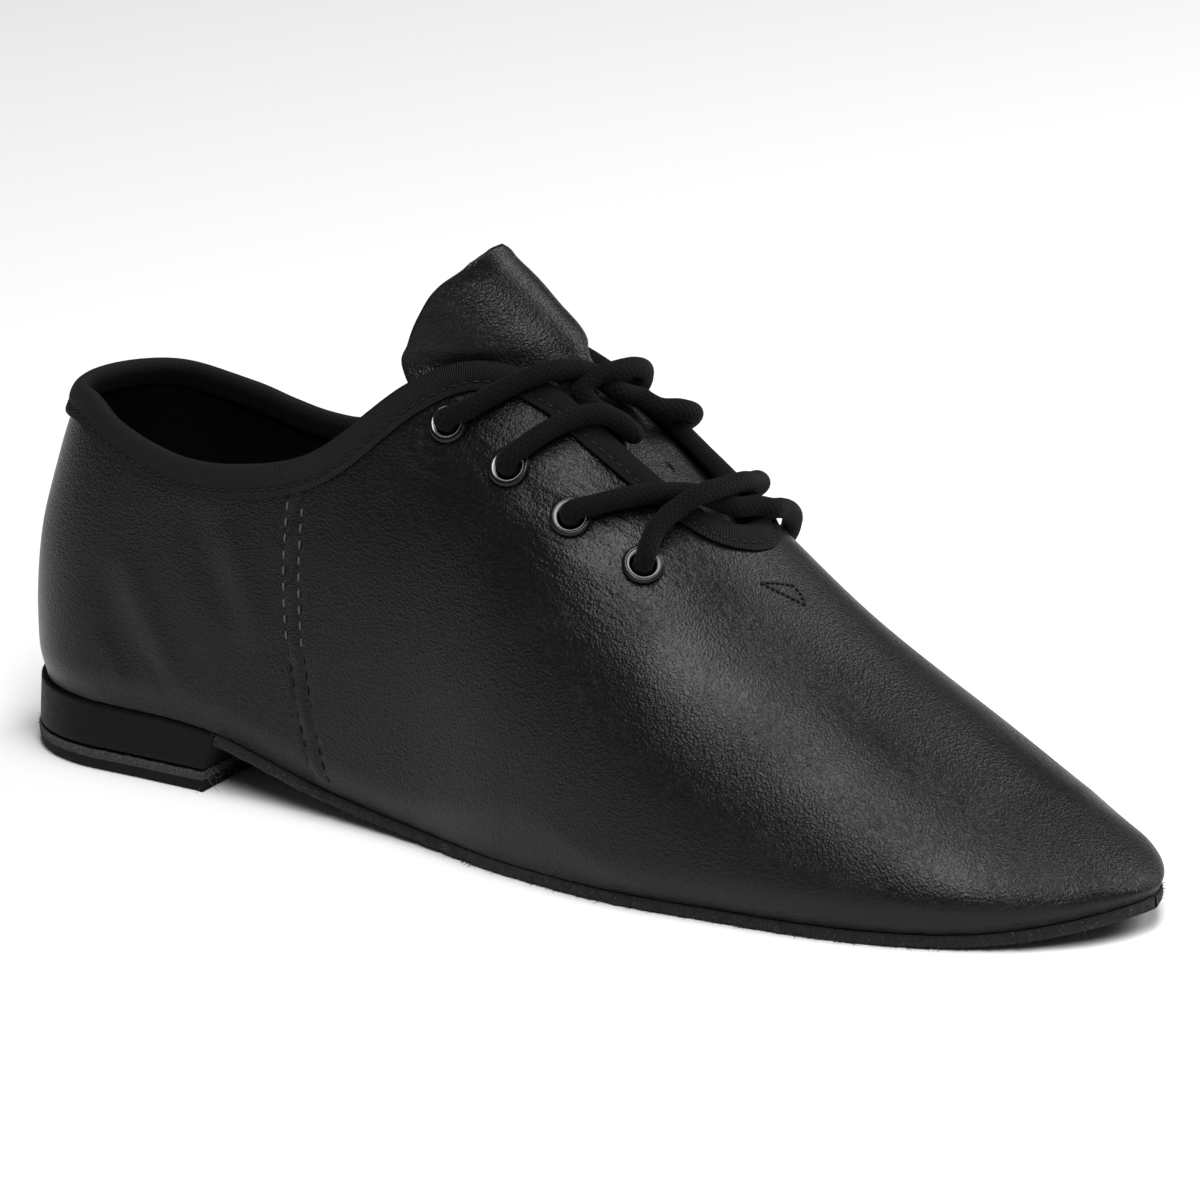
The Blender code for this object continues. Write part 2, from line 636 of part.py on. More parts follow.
def eyelets(leather):
    """Black metal eyelets, each through its own hole in the leather."""
    bore, flange = EYELET_BORE / 2, EYELET_FLANGE / 2
    seat = 2 * GAP
    barrel = bore + EYELET_METAL
    profile = np.array([
        (bore, -INNER_FACE), (bore, seat + EYELET_CROWN - EYELET_RIM),
        (bore + EYELET_ROUND, seat + EYELET_CROWN),
        (flange - EYELET_RIM, seat + EYELET_CROWN - EYELET_RIM), (flange, seat), (barrel, seat),
        (barrel, -INNER_FACE),
    ])
    for row in range(len(EYELETS)):
        for label, side in (("outer", -1), ("inner", 1)):
            centre, axis = eyelet_seat(side, row)
            turned(f"eyelet_{label}_{row + 1}", centre, axis, profile, BLACK_METAL)
            hole = barrel + GAP
            tool = turned_disc(f"hole_{label}_{row + 1}", centre, axis, hole, PUNCH_REACH)
            cut = leather.modifiers.new(tool.name, "BOOLEAN")
            cut.operation = "DIFFERENCE"
            cut.object = tool


def turned_disc(name, centre, axis, radius, reach):
    """A cylinder that stands for what is cut away."""
    across = unit(np.cross(axis, (0.0, 0.0, 1.0)))
    other = np.cross(axis, across)
    angle = np.linspace(0, 2 * np.pi, EYELET_SIDES, endpoint=False)[:, None]
    circle = radius * (np.cos(angle) * across + np.sin(angle) * other)
    sections = np.stack([centre + circle + h * axis for h in (-reach, reach)])
    tool = loft(name, sections, BLACK_METAL)
    tool.hide_render = True
    tool.display_type = "WIRE"
    return tool


def strand(name, lays):
    """A round lace along a table's rows, as a closed tube."""
    points = [over(row.along * THROAT_FOOT, row.arc * EYELET_REACH, row.lift * LACE)[0]
              for row in lays]
    knots = [Knot(step, *point) for step, point in enumerate(points)]
    at = np.linspace(0, len(lays) - 1, LACE_STEPS * (len(lays) - 1) + 1)
    line = np.stack([smooth(knots, "step", axis, at) for axis in "xyz"], -1)
    forward = unit(np.gradient(line, axis=0))
    across = unit(np.cross(forward, (0.0, 0.0, 1.0)))
    other = np.cross(across, forward)
    angle = np.linspace(0, 2 * np.pi, LACE_SIDES, endpoint=False)[None, :, None]
    round_it = np.cos(angle) * across[:, None] + np.sin(angle) * other[:, None]
    return loft(name, line[:, None] + LACE / 2 * round_it, CORD)


def lace_crossing(name, above, below):
    """Two strands that cross, joined where the one lies on the other."""
    top = strand(name, above)
    bottom = strand(name + "_second", below)
    bottom.hide_render = True
    bottom.display_type = "WIRE"
    joined = top.modifiers.new(bottom.name, "BOOLEAN")
    joined.operation = "UNION"
    joined.use_self = True
    joined.object = bottom


def main():
    for thing in list(bpy.data.objects):
        bpy.data.objects.remove(thing)
    leather = upper()
    binding()
    sole()
    insole()
    heel()
    tongue()
    eyelets(leather)
    lace_crossing("lace_crossing_lower", LOWER_OVER, LOWER_UNDER)
    lace_crossing("lace_crossing_upper", UPPER_OVER, UPPER_UNDER)


main()
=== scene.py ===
# %% [markdown]
# A soft jazz shoe for the right foot, dressed over its plain solids. The frame holds those solids
# in metres: the toe points to +X, the outer side of the foot is -Y and +Z is up. Every visible
# piece is made again here from the same last, the wooden form that a shoemaker pulls leather over,
# so that the fine pieces sit exactly where the plain ones do.

# %% Load the frame
from collections import namedtuple

import bmesh
import bpy
import numpy as np
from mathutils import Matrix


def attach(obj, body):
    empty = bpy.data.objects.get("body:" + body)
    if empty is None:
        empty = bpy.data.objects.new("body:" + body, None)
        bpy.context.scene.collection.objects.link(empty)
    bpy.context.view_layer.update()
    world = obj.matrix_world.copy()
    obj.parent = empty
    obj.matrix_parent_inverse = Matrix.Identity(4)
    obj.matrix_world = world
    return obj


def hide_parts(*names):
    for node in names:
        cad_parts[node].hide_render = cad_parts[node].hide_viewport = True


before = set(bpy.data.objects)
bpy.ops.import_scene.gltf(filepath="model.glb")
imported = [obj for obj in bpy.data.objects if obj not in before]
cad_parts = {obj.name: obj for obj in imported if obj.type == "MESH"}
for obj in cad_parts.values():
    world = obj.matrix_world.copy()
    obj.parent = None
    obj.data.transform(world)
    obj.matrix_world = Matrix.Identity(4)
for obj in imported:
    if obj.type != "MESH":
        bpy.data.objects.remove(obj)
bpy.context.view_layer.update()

# %% [markdown]
# The camera looks at the outer side from the front. A long lens far away gives the flat
# perspective of a catalogue picture, and the angles are those of the photograph.

# %% Camera
CAMERA_AZIMUTH = np.radians(30)
CAMERA_ELEVATION = np.radians(18)
CAMERA_DISTANCE = 1.905
CAMERA_LENS = 276
CAMERA_TARGET = np.array([0.10785, 0.0, 0.0496])


def make_camera():
    """A camera on a ray from the target: back = (sin a cos e, -cos a cos e, sin e)."""
    a, e = CAMERA_AZIMUTH, CAMERA_ELEVATION
    back = np.array([np.sin(a) * np.cos(e), -np.cos(a) * np.cos(e), np.sin(e)])
    data = bpy.data.cameras.new("camera")
    data.lens, data.sensor_width = CAMERA_LENS, 36
    camera = bpy.data.objects.new("camera", data)
    camera.location = CAMERA_TARGET + CAMERA_DISTANCE * back
    camera.rotation_euler = (np.pi / 2 - e, 0, a)
    bpy.context.scene.collection.objects.link(camera)
    bpy.context.scene.camera = camera


make_camera()
print("camera:", np.round(bpy.context.scene.camera.location, 3).tolist())

# %% [markdown]
# A shoe is drawn from its last. Sections along the foot give the widths and the height of the top
# line; a curve through a short table joins them. The numbers are shares of a few real sizes, as a
# pattern maker grades them.

# %% Sizes of the last and of the pieces
LENGTH = 0.268
BALL_HALF = 0.044
INSTEP_HEIGHT = 0.1185
HEEL_HEIGHT = 0.0160
TOE_SPRING = 0.0058
HEEL_ROUND = 0.027
TOE_ROUND = 0.078
TOE_DROP = 0.030
TUCK = 0.0030
TUCK_HEIGHT = 0.0090
BACK_REACH = 0.090
TOE_REACH = 0.040
RIDGE_POWER = 1.95
HEEL_POWER = 2.2
TOE_POWER = 2.3
DROP_POWER = 2.2
CREST = 1.15
CREST_RISE = 0.998
GAP = 0.0003
WALL = 0.0013
LAP = 0.0007
MARGIN = 0.0100
SOLE = 0.0026
LIFT = 0.0046
BREAST = 0.0555
BREAST_RAKE = 0.0030
HEEL_MIDDLE = BREAST / 2
FLAT_HEIGHT = SOLE + GAP
THROAT_FOOT = 0.1675
SEAM_FOOT = 0.0817
SEAM_TOP = 0.0717
SEAM_SWEEP = 2.2
FAN_START = 0.32
FAN_REACH = 0.30
EYELET_REACH = 0.0355
LACE = 0.0043

Section = namedtuple("Section", "along lateral medial lean ridge heel spring fullness")
SECTIONS = [
    Section(0.00, 0.590, 0.620, 0.00, 0.990, 1.000, 0.00, 2.25),
    Section(0.10, 0.575, 0.640, 0.00, 1.000, 0.940, 0.00, 2.25),
    Section(0.20, 0.605, 0.645, 0.00, 1.000, 0.850, 0.00, 2.25),
    Section(0.30, 0.640, 0.640, 0.04, 0.975, 0.340, 0.00, 2.30),
    Section(0.40, 0.730, 0.670, 0.14, 0.925, 0.070, 0.00, 2.50),
    Section(0.50, 0.895, 0.785, 0.20, 0.805, 0.000, 0.00, 2.70),
    Section(0.60, 0.985, 0.920, 0.18, 0.627, 0.000, 0.00, 2.55),
    Section(0.70, 0.960, 1.000, 0.12, 0.448, 0.000, 0.00, 2.30),
    Section(0.80, 0.925, 0.980, 0.07, 0.312, 0.000, 0.00, 2.25),
    Section(0.90, 0.860, 0.890, 0.04, 0.196, 0.000, 0.17, 2.25),
    Section(1.00, 0.785, 0.780, 0.03, 0.120, 0.000, 1.00, 2.25),
]
Bend = namedtuple("Bend", "height forward")
HEEL_CURVE = [
    Bend(0.10, 0.0035),
    Bend(0.18, 0.0020),
    Bend(0.30, 0.0010),
    Bend(0.42, 0.0065),
    Bend(0.52, 0.0180),
    Bend(0.62, 0.0315),
    Bend(0.72, 0.0500),
]
Edge = namedtuple("Edge", "along outer inner")
EDGE = [
    Edge(0.000, 0.634, 0.634),
    Edge(0.066, 0.640, 0.623),
    Edge(0.140, 0.595, 0.595),
    Edge(0.200, 0.565, 0.578),
    Edge(0.255, 0.549, 0.557),
    Edge(0.305, 0.551, 0.546),
    Edge(0.365, 0.574, 0.556),
    Edge(0.416, 0.605, 0.592),
    Edge(0.460, 0.643, 0.640),
    Edge(0.518, 0.718, 0.718),
    Edge(0.590, 0.834, 0.834),
    Edge(0.650, 0.908, 0.908),
    Edge(0.710, 0.948, 0.948),
    Edge(0.770, 0.962, 0.962),
    Edge(0.832, 0.964, 0.964),
    Edge(0.890, 0.970, 0.970),
    Edge(0.940, 0.979, 0.979),
    Edge(0.975, 0.988, 0.988),
    Edge(1.000, 1.000, 1.000),
]
print("length of the last:", LENGTH, "sections:", len(SECTIONS), "points on the edge:", len(EDGE))


# %% Functions of the last
def smooth(rows, key, value, at):
    """A cubic curve through a table's rows, with the mean slope of its neighbours at each row."""
    knots = np.array([getattr(row, key) for row in rows])
    values = np.array([getattr(row, value) for row in rows])
    slopes = np.gradient(values, knots)
    at = np.clip(at, knots[0], knots[-1])
    i = np.clip(np.searchsorted(knots, at, side="right") - 1, 0, len(knots) - 2)
    step = knots[i + 1] - knots[i]
    t = (at - knots[i]) / step
    return (values[i] * (1 + 2 * t) * (1 - t) ** 2 + values[i + 1] * t * t * (3 - 2 * t)
            + step * t * (1 - t) * (slopes[i] * (1 - t) - slopes[i + 1] * t))


def round_end(t, power):
    """Falls from 1 to 0 as t goes from 0 to 1, ending square to the axis: sqrt(1 - t^power)."""
    return np.sqrt(np.clip(1 - np.clip(t, 0, 1) ** power, 0, 1))


def unit(v):
    return v / np.linalg.norm(v, axis=-1, keepdims=True)


def half_width(x, side):
    """Half width at x from the heel's back: a table's share, rounded off at heel and toe."""
    share = x / LENGTH
    width = np.where(np.less(side, 0), smooth(SECTIONS, "along", "lateral", share),
                     smooth(SECTIONS, "along", "medial", share))
    return (BALL_HALF * width * round_end(1 - x / HEEL_ROUND, HEEL_POWER)
            * round_end((x - LENGTH + TOE_ROUND) / TOE_ROUND, TOE_POWER))


def lean(x):
    """How far the top line leans to the inner side."""
    return BALL_HALF * smooth(SECTIONS, "along", "lean", x / LENGTH)


def feather(x):
    """Height of the fold where the leather meets the sole."""
    heel = np.clip(smooth(SECTIONS, "along", "heel", x / LENGTH), 0, None)
    spring = np.clip(smooth(SECTIONS, "along", "spring", x / LENGTH), 0, None)
    return FLAT_HEIGHT + (HEEL_HEIGHT - FLAT_HEIGHT) * heel + TOE_SPRING * spring


def ridge(x):
    """Height of the top line, which falls round to the fold at the toe tip."""
    low = feather(x)
    top = INSTEP_HEIGHT * smooth(SECTIONS, "along", "ridge", x / LENGTH)
    return low + (top - low) * round_end((x - LENGTH + TOE_DROP) / TOE_DROP, DROP_POWER)


def spread_of(rise, x):
    """A section's width at a share of its height: (1 - rise^fullness)^(1/power)."""
    fullness = smooth(SECTIONS, "along", "fullness", x / LENGTH)
    return np.clip(1 - np.clip(rise, 0, 1) ** fullness, 0, 1) ** (1 / RIDGE_POWER)


def rise_of(spread, x):
    """The inverse of spread_of."""
    fullness = smooth(SECTIONS, "along", "fullness", x / LENGTH)
    return np.clip(1 - np.clip(spread, 0, 1) ** RIDGE_POWER, 0, 1) ** (1 / fullness)


def last(x, side, rise, inset=0.0):
    """A point of the last, or of a surface within it by the inset, in the frame's coordinates.

    Width times spread gives y, height times rise gives z, and the heel curve shifts x.
    """
    sole_line = feather(x)
    low = sole_line + np.clip(inset, 0, None)
    high = np.maximum(ridge(x) - CREST * inset, low)
    z = low + rise * (high - low)
    spread = spread_of(rise, x)
    tuck = TUCK * np.clip(1 - (z - sole_line) / TUCK_HEIGHT, 0, 1) ** 2
    width = np.clip(half_width(x, side) - tuck - inset, 0, None)
    y = side * width * spread + lean(x) * (1 - spread)
    back = LENGTH * smooth(HEEL_CURVE, "height", "forward", z / INSTEP_HEIGHT)
    forward = (inset + x * (LENGTH - 2 * inset) / LENGTH
               + back * np.clip(1 - x / BACK_REACH, 0, 1)
               - tuck * np.clip((x - LENGTH + TOE_REACH) / TOE_REACH, 0, 1) ** 2)
    return np.stack(np.broadcast_arrays(forward - HEEL_MIDDLE, y, z), -1)


def edge_rise(x, side):
    """Share of the height at which the leather ends, at the collar and the throat."""
    return smooth(EDGE, "along", "outer" if side < 0 else "inner", x / THROAT_FOOT)


def surface_normal(x, side, rise, inset=0.0):
    """Outward direction: the cross product of small steps along the last and up it."""
    d = 1e-4
    along = last(x + d, side, rise, inset) - last(x - d, side, rise, inset)
    up = last(x, side, rise + d, inset) - last(x, side, rise - d, inset)
    return unit(np.cross(along, up) * np.asarray(side)[..., None] * -1)


def over(x, arc, lift=0.0, inset=0.0):
    """A point at an arc from the top line, minus on the outer side, and a lift off the leather."""
    side = -1.0 if arc < 0 else 1.0
    rises = np.linspace(1, 0.2, 400)
    line = last(np.full_like(rises, x), side, rises, inset)
    run = np.concatenate([[0], np.cumsum(np.linalg.norm(np.diff(line, axis=0), axis=1))])
    rise = min(np.interp(abs(arc), run, rises), CREST_RISE)
    normal = surface_normal(x, side, rise, inset)
    return last(x, side, rise, inset) + lift * normal, normal


print("ball width:", round(float(half_width(0.6 * LENGTH, -1) + half_width(0.7 * LENGTH, 1)), 4))

# %% [markdown]
# Every piece below is a grid of points, rows by columns, which one helper turns into a mesh. The
# grid may close on itself in either direction, as a tube or a ring does. When given one, the helper
# also lays a UV map over it, in real metres, so that ribs and braids keep their true size.


# %% A mesh from a grid
def grid_piece(name, points, looks, close=(False, False), uv=None, caps=False, masks=None):
    """A smooth mesh whose face (i, j) joins points (i, j), (i+1, j), (i+1, j+1) and (i, j+1)."""
    n, m = points.shape[:2]
    rows, cols = (n if close[0] else n - 1), (m if close[1] else m - 1)
    i, j = np.meshgrid(np.arange(rows), np.arange(cols), indexing="ij")
    di, dj = np.array([0, 1, 1, 0]), np.array([0, 0, 1, 1])
    corner_i, corner_j = i[..., None] + di, j[..., None] + dj
    faces = ((corner_i % n) * m + corner_j % m).reshape(-1, 4).tolist()
    if caps:
        faces += [list(range(m)), list(range((n - 1) * m, n * m))]
    mesh = bpy.data.meshes.new(name)
    mesh.from_pydata(points.reshape(-1, 3).tolist(), [], faces)
    if uv is not None:
        u, v = uv
        layer = mesh.uv_layers.new(name="UVMap")
        flat = np.stack([u[corner_i], v[corner_j]], -1).reshape(-1)
        flat = np.concatenate([flat, np.zeros(2 * len(mesh.loops) - len(flat))])
        layer.data.foreach_set("uv", flat)
    for key, values in (masks or {}).items():
        mask = mesh.attributes.new(key, "FLOAT", "POINT")
        mask.data.foreach_set("value", np.asarray(values, dtype=float).reshape(-1))
    turn_outwards(mesh)
    for look in looks:
        mesh.materials.append(look)
    piece = bpy.data.objects.new(name, mesh)
    bpy.context.scene.collection.objects.link(piece)
    return piece


def turn_outwards(mesh):
    """Makes a mesh's faces agree and point outwards, and shades it smooth."""
    bm = bmesh.new()
    bm.from_mesh(mesh)
    bmesh.ops.recalc_face_normals(bm, faces=bm.faces)
    bm.to_mesh(mesh)
    bm.free()
    mesh.shade_smooth()


def dress(piece, slot, *nodes):
    """Puts a piece on the shoe, in place of the plain solids that it stands for."""
    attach(piece, "root")
    if nodes:
        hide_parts(*nodes)
    faces = len(piece.data.polygons)
    print(f"{piece.name}: {faces} faces")
    return piece


def run_length(points):
    """Distance along a line of points, starting from 0."""
    return np.concatenate([[0], np.cumsum(np.linalg.norm(np.diff(points, axis=0), axis=1))])


# %% [markdown]
# Black materials are told apart by their gloss and their small relief, so each finish is a
# Principled shader with a bump made of one or two procedural patterns. A small helper adds nodes
# and joins them, which keeps each recipe to a few lines.


# %% Helpers for materials
class Finish:
    """A material with a Principled shader, and short ways to add and join nodes."""

    def __init__(self, name, colour, roughness, metallic=0.0, specular=0.5):
        self.material = bpy.data.materials.new(name)
        self.material.use_nodes = True
        self.tree = self.material.node_tree
        self.shader = self.tree.nodes["Principled BSDF"]
        self.set(self.shader, {"Base Color": (*colour, 1), "Roughness": roughness,
                               "Metallic": metallic, "Specular IOR Level": specular})

    def set(self, node, values):
        for key, value in values.items():
            if isinstance(value, bpy.types.NodeSocket):
                self.tree.links.new(value, node.inputs[key])
            else:
                node.inputs[key].default_value = value
        return node

    def add(self, kind, values=None, **settings):
        node = self.tree.nodes.new(kind)
        for key, value in settings.items():
            setattr(node, key, value)
        return self.set(node, values or {})

    def where(self, scale=(1, 1, 1), turn=(0, 0, 0)):
        """Coordinates on the piece, turned and then scaled."""
        values = {"Vector": self.add("ShaderNodeTexCoord").outputs["Object"], "Rotation": turn,
                  "Scale": [1 / s for s in scale]}
        return self.add("ShaderNodeMapping", values, vector_type="TEXTURE").outputs["Vector"]

    def noise(self, vector, scale, detail=3.0, roughness=0.5):
        values = {"Vector": vector, "Scale": scale, "Detail": detail, "Roughness": roughness}
        return self.add("ShaderNodeTexNoise", values).outputs["Fac"]

    def cells(self, vector, scale):
        return self.add("ShaderNodeTexVoronoi", {"Vector": vector, "Scale": scale}).outputs["Distance"]

    def math(self, operation, a, b=0.0):
        return self.add("ShaderNodeMath", {0: a, 1: b}, operation=operation).outputs[0]

    def range(self, value, low, high, new_low, new_high):
        values = {"Value": value, "From Min": low, "From Max": high,
                  "To Min": new_low, "To Max": new_high}
        return self.add("ShaderNodeMapRange", values).outputs[0]

    def attribute(self, name):
        return self.add("ShaderNodeAttribute", attribute_name=name).outputs["Fac"]

    def bump(self, height, distance, strength=1.0, below=None):
        values = {"Height": height, "Distance": distance, "Strength": strength}
        if below is not None:
            values["Normal"] = below
        return self.add("ShaderNodeBump", values).outputs["Normal"]

    def shade(self, **values):
        names = {"colour": "Base Color", "roughness": "Roughness", "normal": "Normal"}
        self.set(self.shader, {names[key]: value for key, value in values.items()})


def two_tones(finish, fac, dark, light):
    """A colour between two, by a factor from 0 to 1."""
    ramp = finish.add("ShaderNodeValToRGB", {"Fac": fac})
    ramp.color_ramp.elements[0].color = (*dark, 1)
    ramp.color_ramp.elements[1].color = (*light, 1)
    return ramp.outputs["Color"]


# %% [markdown]
# The upper is soft goat leather: a fine pebble about half a millimetre across, smoother where it
# is pulled tight over the heel and the toe, and finely wrinkled where the laces pull at it. The
# pebble is a Voronoi pattern, and a mask kept on each point of the mesh brings in the wrinkles.


# %% Leather
PEBBLE_DEPTH = 0.00016
WRINKLE_DEPTH = 0.00040


def leather_finish():
    """Bump: coarse and fine pebble, patchy by a slow noise, over wrinkles times their mask."""
    f = Finish("leather", (0.005, 0.005, 0.0052), 0.33, specular=0.22)
    place = f.where()
    warp = f.add("ShaderNodeMix", {"Factor": 0.0006, 6: place,
                                   7: f.add("ShaderNodeTexNoise", {"Vector": place, "Scale": 500.0,
                                                                   "Detail": 2.0}).outputs["Color"]},
                 data_type="RGBA", blend_type="LINEAR_LIGHT").outputs[2]
    pebbles = f.cells(warp, 1750.0)
    fine = f.cells(warp, 3900.0)
    patches = f.noise(place, 38.0, 2.0)
    grain = f.math("ADD", pebbles, f.math("MULTIPLY", fine, 0.45))
    grain = f.math("MULTIPLY", grain, f.range(patches, 0.35, 0.65, 0.55, 1.0))
    relief = f.bump(grain, PEBBLE_DEPTH, 0.85)
    pulls = f.noise(f.where(scale=(170, 420, 760), turn=(0.0, 0.35, 0.0)), 1.0, 2.0, 0.5)
    pulls = f.math("MULTIPLY", pulls, f.attribute("pull"))
    relief = f.bump(pulls, WRINKLE_DEPTH, 1.0, below=relief)
    f.shade(normal=relief,
            roughness=f.range(patches, 0.3, 0.7, 0.29, 0.37),
            colour=two_tones(f, f.range(pebbles, 0.0, 0.55, 0.0, 1.0), (0.0062, 0.0062, 0.0065),
                             (0.0034, 0.0034, 0.0036)))
    return f.material


LEATHER = leather_finish()
print("finish:", LEATHER.name)

# %% [markdown]
# The quarters wrap the heel and the vamp laps over them at the side seam, where two rows of
# stitches draw the leather in. These are shapes, not colour, so they are pushed into the grid of
# the upper by a relief function. Soft folds are listed one by one, each from one point to
# another with a width and a depth.

# %% Relief of the upper
SEAM_HALF = 0.0020
SEAM_AHEAD = 0.0033
STITCH_PITCH = 0.0031
PUCKER_PITCH = 0.00155
SEAM_ROUND = 0.0006
STITCH_SINK = 0.00032
PUCKER_DEPTH = 0.00015
WRINKLE_REACH = 0.0115

Fold = namedtuple("Fold", "side x0 z0 x1 z1 width depth")
FOLDS = [
    Fold(-1, 0.026, 0.047, 0.036, 0.021, 0.0045, -0.00050),
    Fold(-1, 0.032, 0.050, 0.047, 0.023, 0.0040, 0.00045),
    Fold(-1, 0.046, 0.064, 0.062, 0.040, 0.0050, -0.00045),
    Fold(-1, 0.057, 0.060, 0.069, 0.036, 0.0045, 0.00040),
    Fold(-1, 0.027, 0.032, 0.034, 0.019, 0.0028, 0.00030),
    Fold(-1, 0.035, 0.034, 0.046, 0.019, 0.0028, -0.00030),
    Fold(-1, 0.245, 0.0185, 0.2575, 0.0095, 0.0020, -0.00028),
    Fold(-1, 0.2475, 0.019, 0.2600, 0.0115, 0.0018, 0.00022),
    Fold(-1, 0.232, 0.026, 0.2440, 0.0160, 0.0040, -0.00030),
    Fold(-1, 0.112, 0.083, 0.132, 0.081, 0.0016, -0.00035),
    Fold(-1, 0.117, 0.086, 0.134, 0.083, 0.0015, 0.00035),
    Fold(-1, 0.128, 0.079, 0.147, 0.074, 0.0015, -0.00040),
    Fold(-1, 0.133, 0.080, 0.150, 0.076, 0.0013, 0.00035),
    Fold(-1, 0.143, 0.071, 0.162, 0.065, 0.0015, -0.00035),
    Fold(-1, 0.099, 0.086, 0.108, 0.079, 0.0016, 0.00030),
    Fold(1, 0.030, 0.050, 0.046, 0.024, 0.0045, -0.00045),
    Fold(1, 0.050, 0.062, 0.064, 0.038, 0.0050, 0.00040),
    Fold(1, 0.128, 0.079, 0.147, 0.074, 0.0018, -0.00035),
    Fold(1, 0.143, 0.071, 0.160, 0.064, 0.0018, 0.00035),
    Fold(1, 0.240, 0.020, 0.252, 0.011, 0.0030, -0.00030),
]
Eyelet = namedtuple("Eyelet", "along arc")
EYELETS = [
    Eyelet(0.659, 0.93),
    Eyelet(0.754, 1.00),
    Eyelet(0.846, 1.01),
    Eyelet(0.941, 0.88),
]
INNER_AHEAD = 0.0024
print("folds placed by hand:", len(FOLDS), "eyelets a side:", len(EYELETS))


def eyelet_seat(side, row):
    """Where an eyelet's middle meets the leather, and the direction that it faces."""
    ahead = INNER_AHEAD if side > 0 else 0.0
    return over(EYELETS[row].along * THROAT_FOOT + ahead, side * EYELETS[row].arc * EYELET_REACH)


def seam_line(rise, side):
    """Middle of the two rows of stitches: a little ahead of the raw edge, swept forward low down."""
    swept = 1 - (1 - np.clip(rise / edge_rise(SEAM_TOP, side), 0, 1)) ** SEAM_SWEEP
    return SEAM_FOOT + (SEAM_TOP - SEAM_FOOT) * swept + SEAM_AHEAD


def folds(x, z, side):
    """Sum of bells exp(-(distance from a segment / width)^2), faded towards the segment's ends."""
    total = np.zeros_like(x)
    for fold in FOLDS:
        if fold.side != side:
            continue
        start, run = np.array([fold.x0, fold.z0]), np.array([fold.x1 - fold.x0, fold.z1 - fold.z0])
        t = ((x - start[0]) * run[0] + (z - start[1]) * run[1]) / (run @ run)
        near = np.clip(t, 0, 1)
        away = np.hypot(x - start[0] - near * run[0], z - start[1] - near * run[1])
        total += fold.depth * np.exp(-(away / fold.width) ** 2) * np.clip(1.2 - (2 * t - 1) ** 2, 0, 1)
    return total


def seam_relief(x, z, rise, side):
    """Two drawn-in rows of stitches, with small puckers between and beside them."""
    off = x - seam_line(rise, side)
    total = np.zeros_like(x)
    for row in (-SEAM_HALF, SEAM_HALF):
        pinch = 0.5 + 0.5 * np.cos(2 * np.pi * z / STITCH_PITCH)
        total -= STITCH_SINK * np.exp(-((off - row) / 0.00055) ** 2) * (0.55 + 0.45 * pinch)
    ladder = np.cos(2 * np.pi * z / PUCKER_PITCH)
    total += PUCKER_DEPTH * ladder * np.exp(-(off / 0.0036) ** 2)
    return total + 0.00012 * np.exp(-(off / 0.0012) ** 2)


def throat_pulls(x, z, side):
    """1 at each eyelet, falling off as the bell exp(-(distance / reach)^2)."""
    seats = [eyelet_seat(side, row)[0] for row in range(len(EYELETS))]
    away = [np.hypot(x - HEEL_MIDDLE - seat[0], z - seat[2]) for seat in seats]
    return np.exp(-(np.min(away, axis=0) / WRINKLE_REACH) ** 2)


# %% [markdown]
# The grid of the upper runs from the sole up to the edge. On the quarters its columns stand
# straight, and on the vamp they fan out from the throat to the sole's outline. The same grid, set
# inwards by the leather's thickness, gives the inside, and a turned-in margin closes the ring.

# %% Grid of the upper
COLUMNS_BACK = 110
COLUMNS_FRONT = 200
ROWS = 52
INSIDE_ROWS = 12


def even_steps(points, xs, marks, counts):
    """Values of xs at even lengths along a line of points, between the marked values."""
    run = run_length(points)
    stops = np.interp(marks, xs, run)
    steps = [np.linspace(a, b, n, endpoint=False) for a, b, n in zip(stops, stops[1:], counts)]
    return np.interp(np.concatenate(steps + [stops[-1:]]), run, xs)


def columns(side):
    """Where the grid's columns start at the sole and end at the upper edge, heel to toe."""
    dense = (1 - np.cos(np.linspace(0, np.pi, 1500))) / 2
    counts = (COLUMNS_BACK, COLUMNS_FRONT)
    low = LENGTH * dense
    foot = even_steps(last(low, side, np.zeros_like(low)), low, (0, SEAM_FOOT, LENGTH), counts)
    high = THROAT_FOOT * dense
    top = even_steps(last(high, side, edge_rise(high, side)), high,
                     (0, SEAM_TOP, THROAT_FOOT), counts)
    step = np.arange(1, 4) / 3 * SEAM_ROUND
    foot = np.insert(foot, COLUMNS_BACK + 1, SEAM_FOOT + step)
    top = np.insert(top, COLUMNS_BACK + 1, SEAM_TOP + step)
    return foot, top


def place(foot, top, side, v):
    """Section and rise of the grid's points, v from 0 at the sole to 1 at the upper edge."""
    fan = np.clip((foot / LENGTH - FAN_START) / FAN_REACH, 0, 1)
    fan = fan * fan * (3 - 2 * fan)
    top_rise = edge_rise(top, side)
    t = (1 - fan) * (1 - (1 - v) ** SEAM_SWEEP) + fan * v * v
    x = foot + (top - foot) * t
    wide = half_width(foot, side)
    narrow = half_width(top, side) * spread_of(top_rise, top)
    spread = (wide + (narrow - wide) * t) / np.maximum(half_width(x, side), 1e-6)
    fanned = np.where(v > 0, rise_of(spread, x), 0.0)
    return x, (1 - fan) * v * top_rise + fan * fanned


def quarter_inset(count):
    """The quarters lie deeper than the vamp by the lap; the vamp's raw edge is rounded off."""
    inset = np.where(np.arange(count) <= COLUMNS_BACK, LAP, 0.0)
    inset[COLUMNS_BACK + 1:COLUMNS_BACK + 4] = LAP * np.array([0.45, 0.12, 0.0])
    return inset


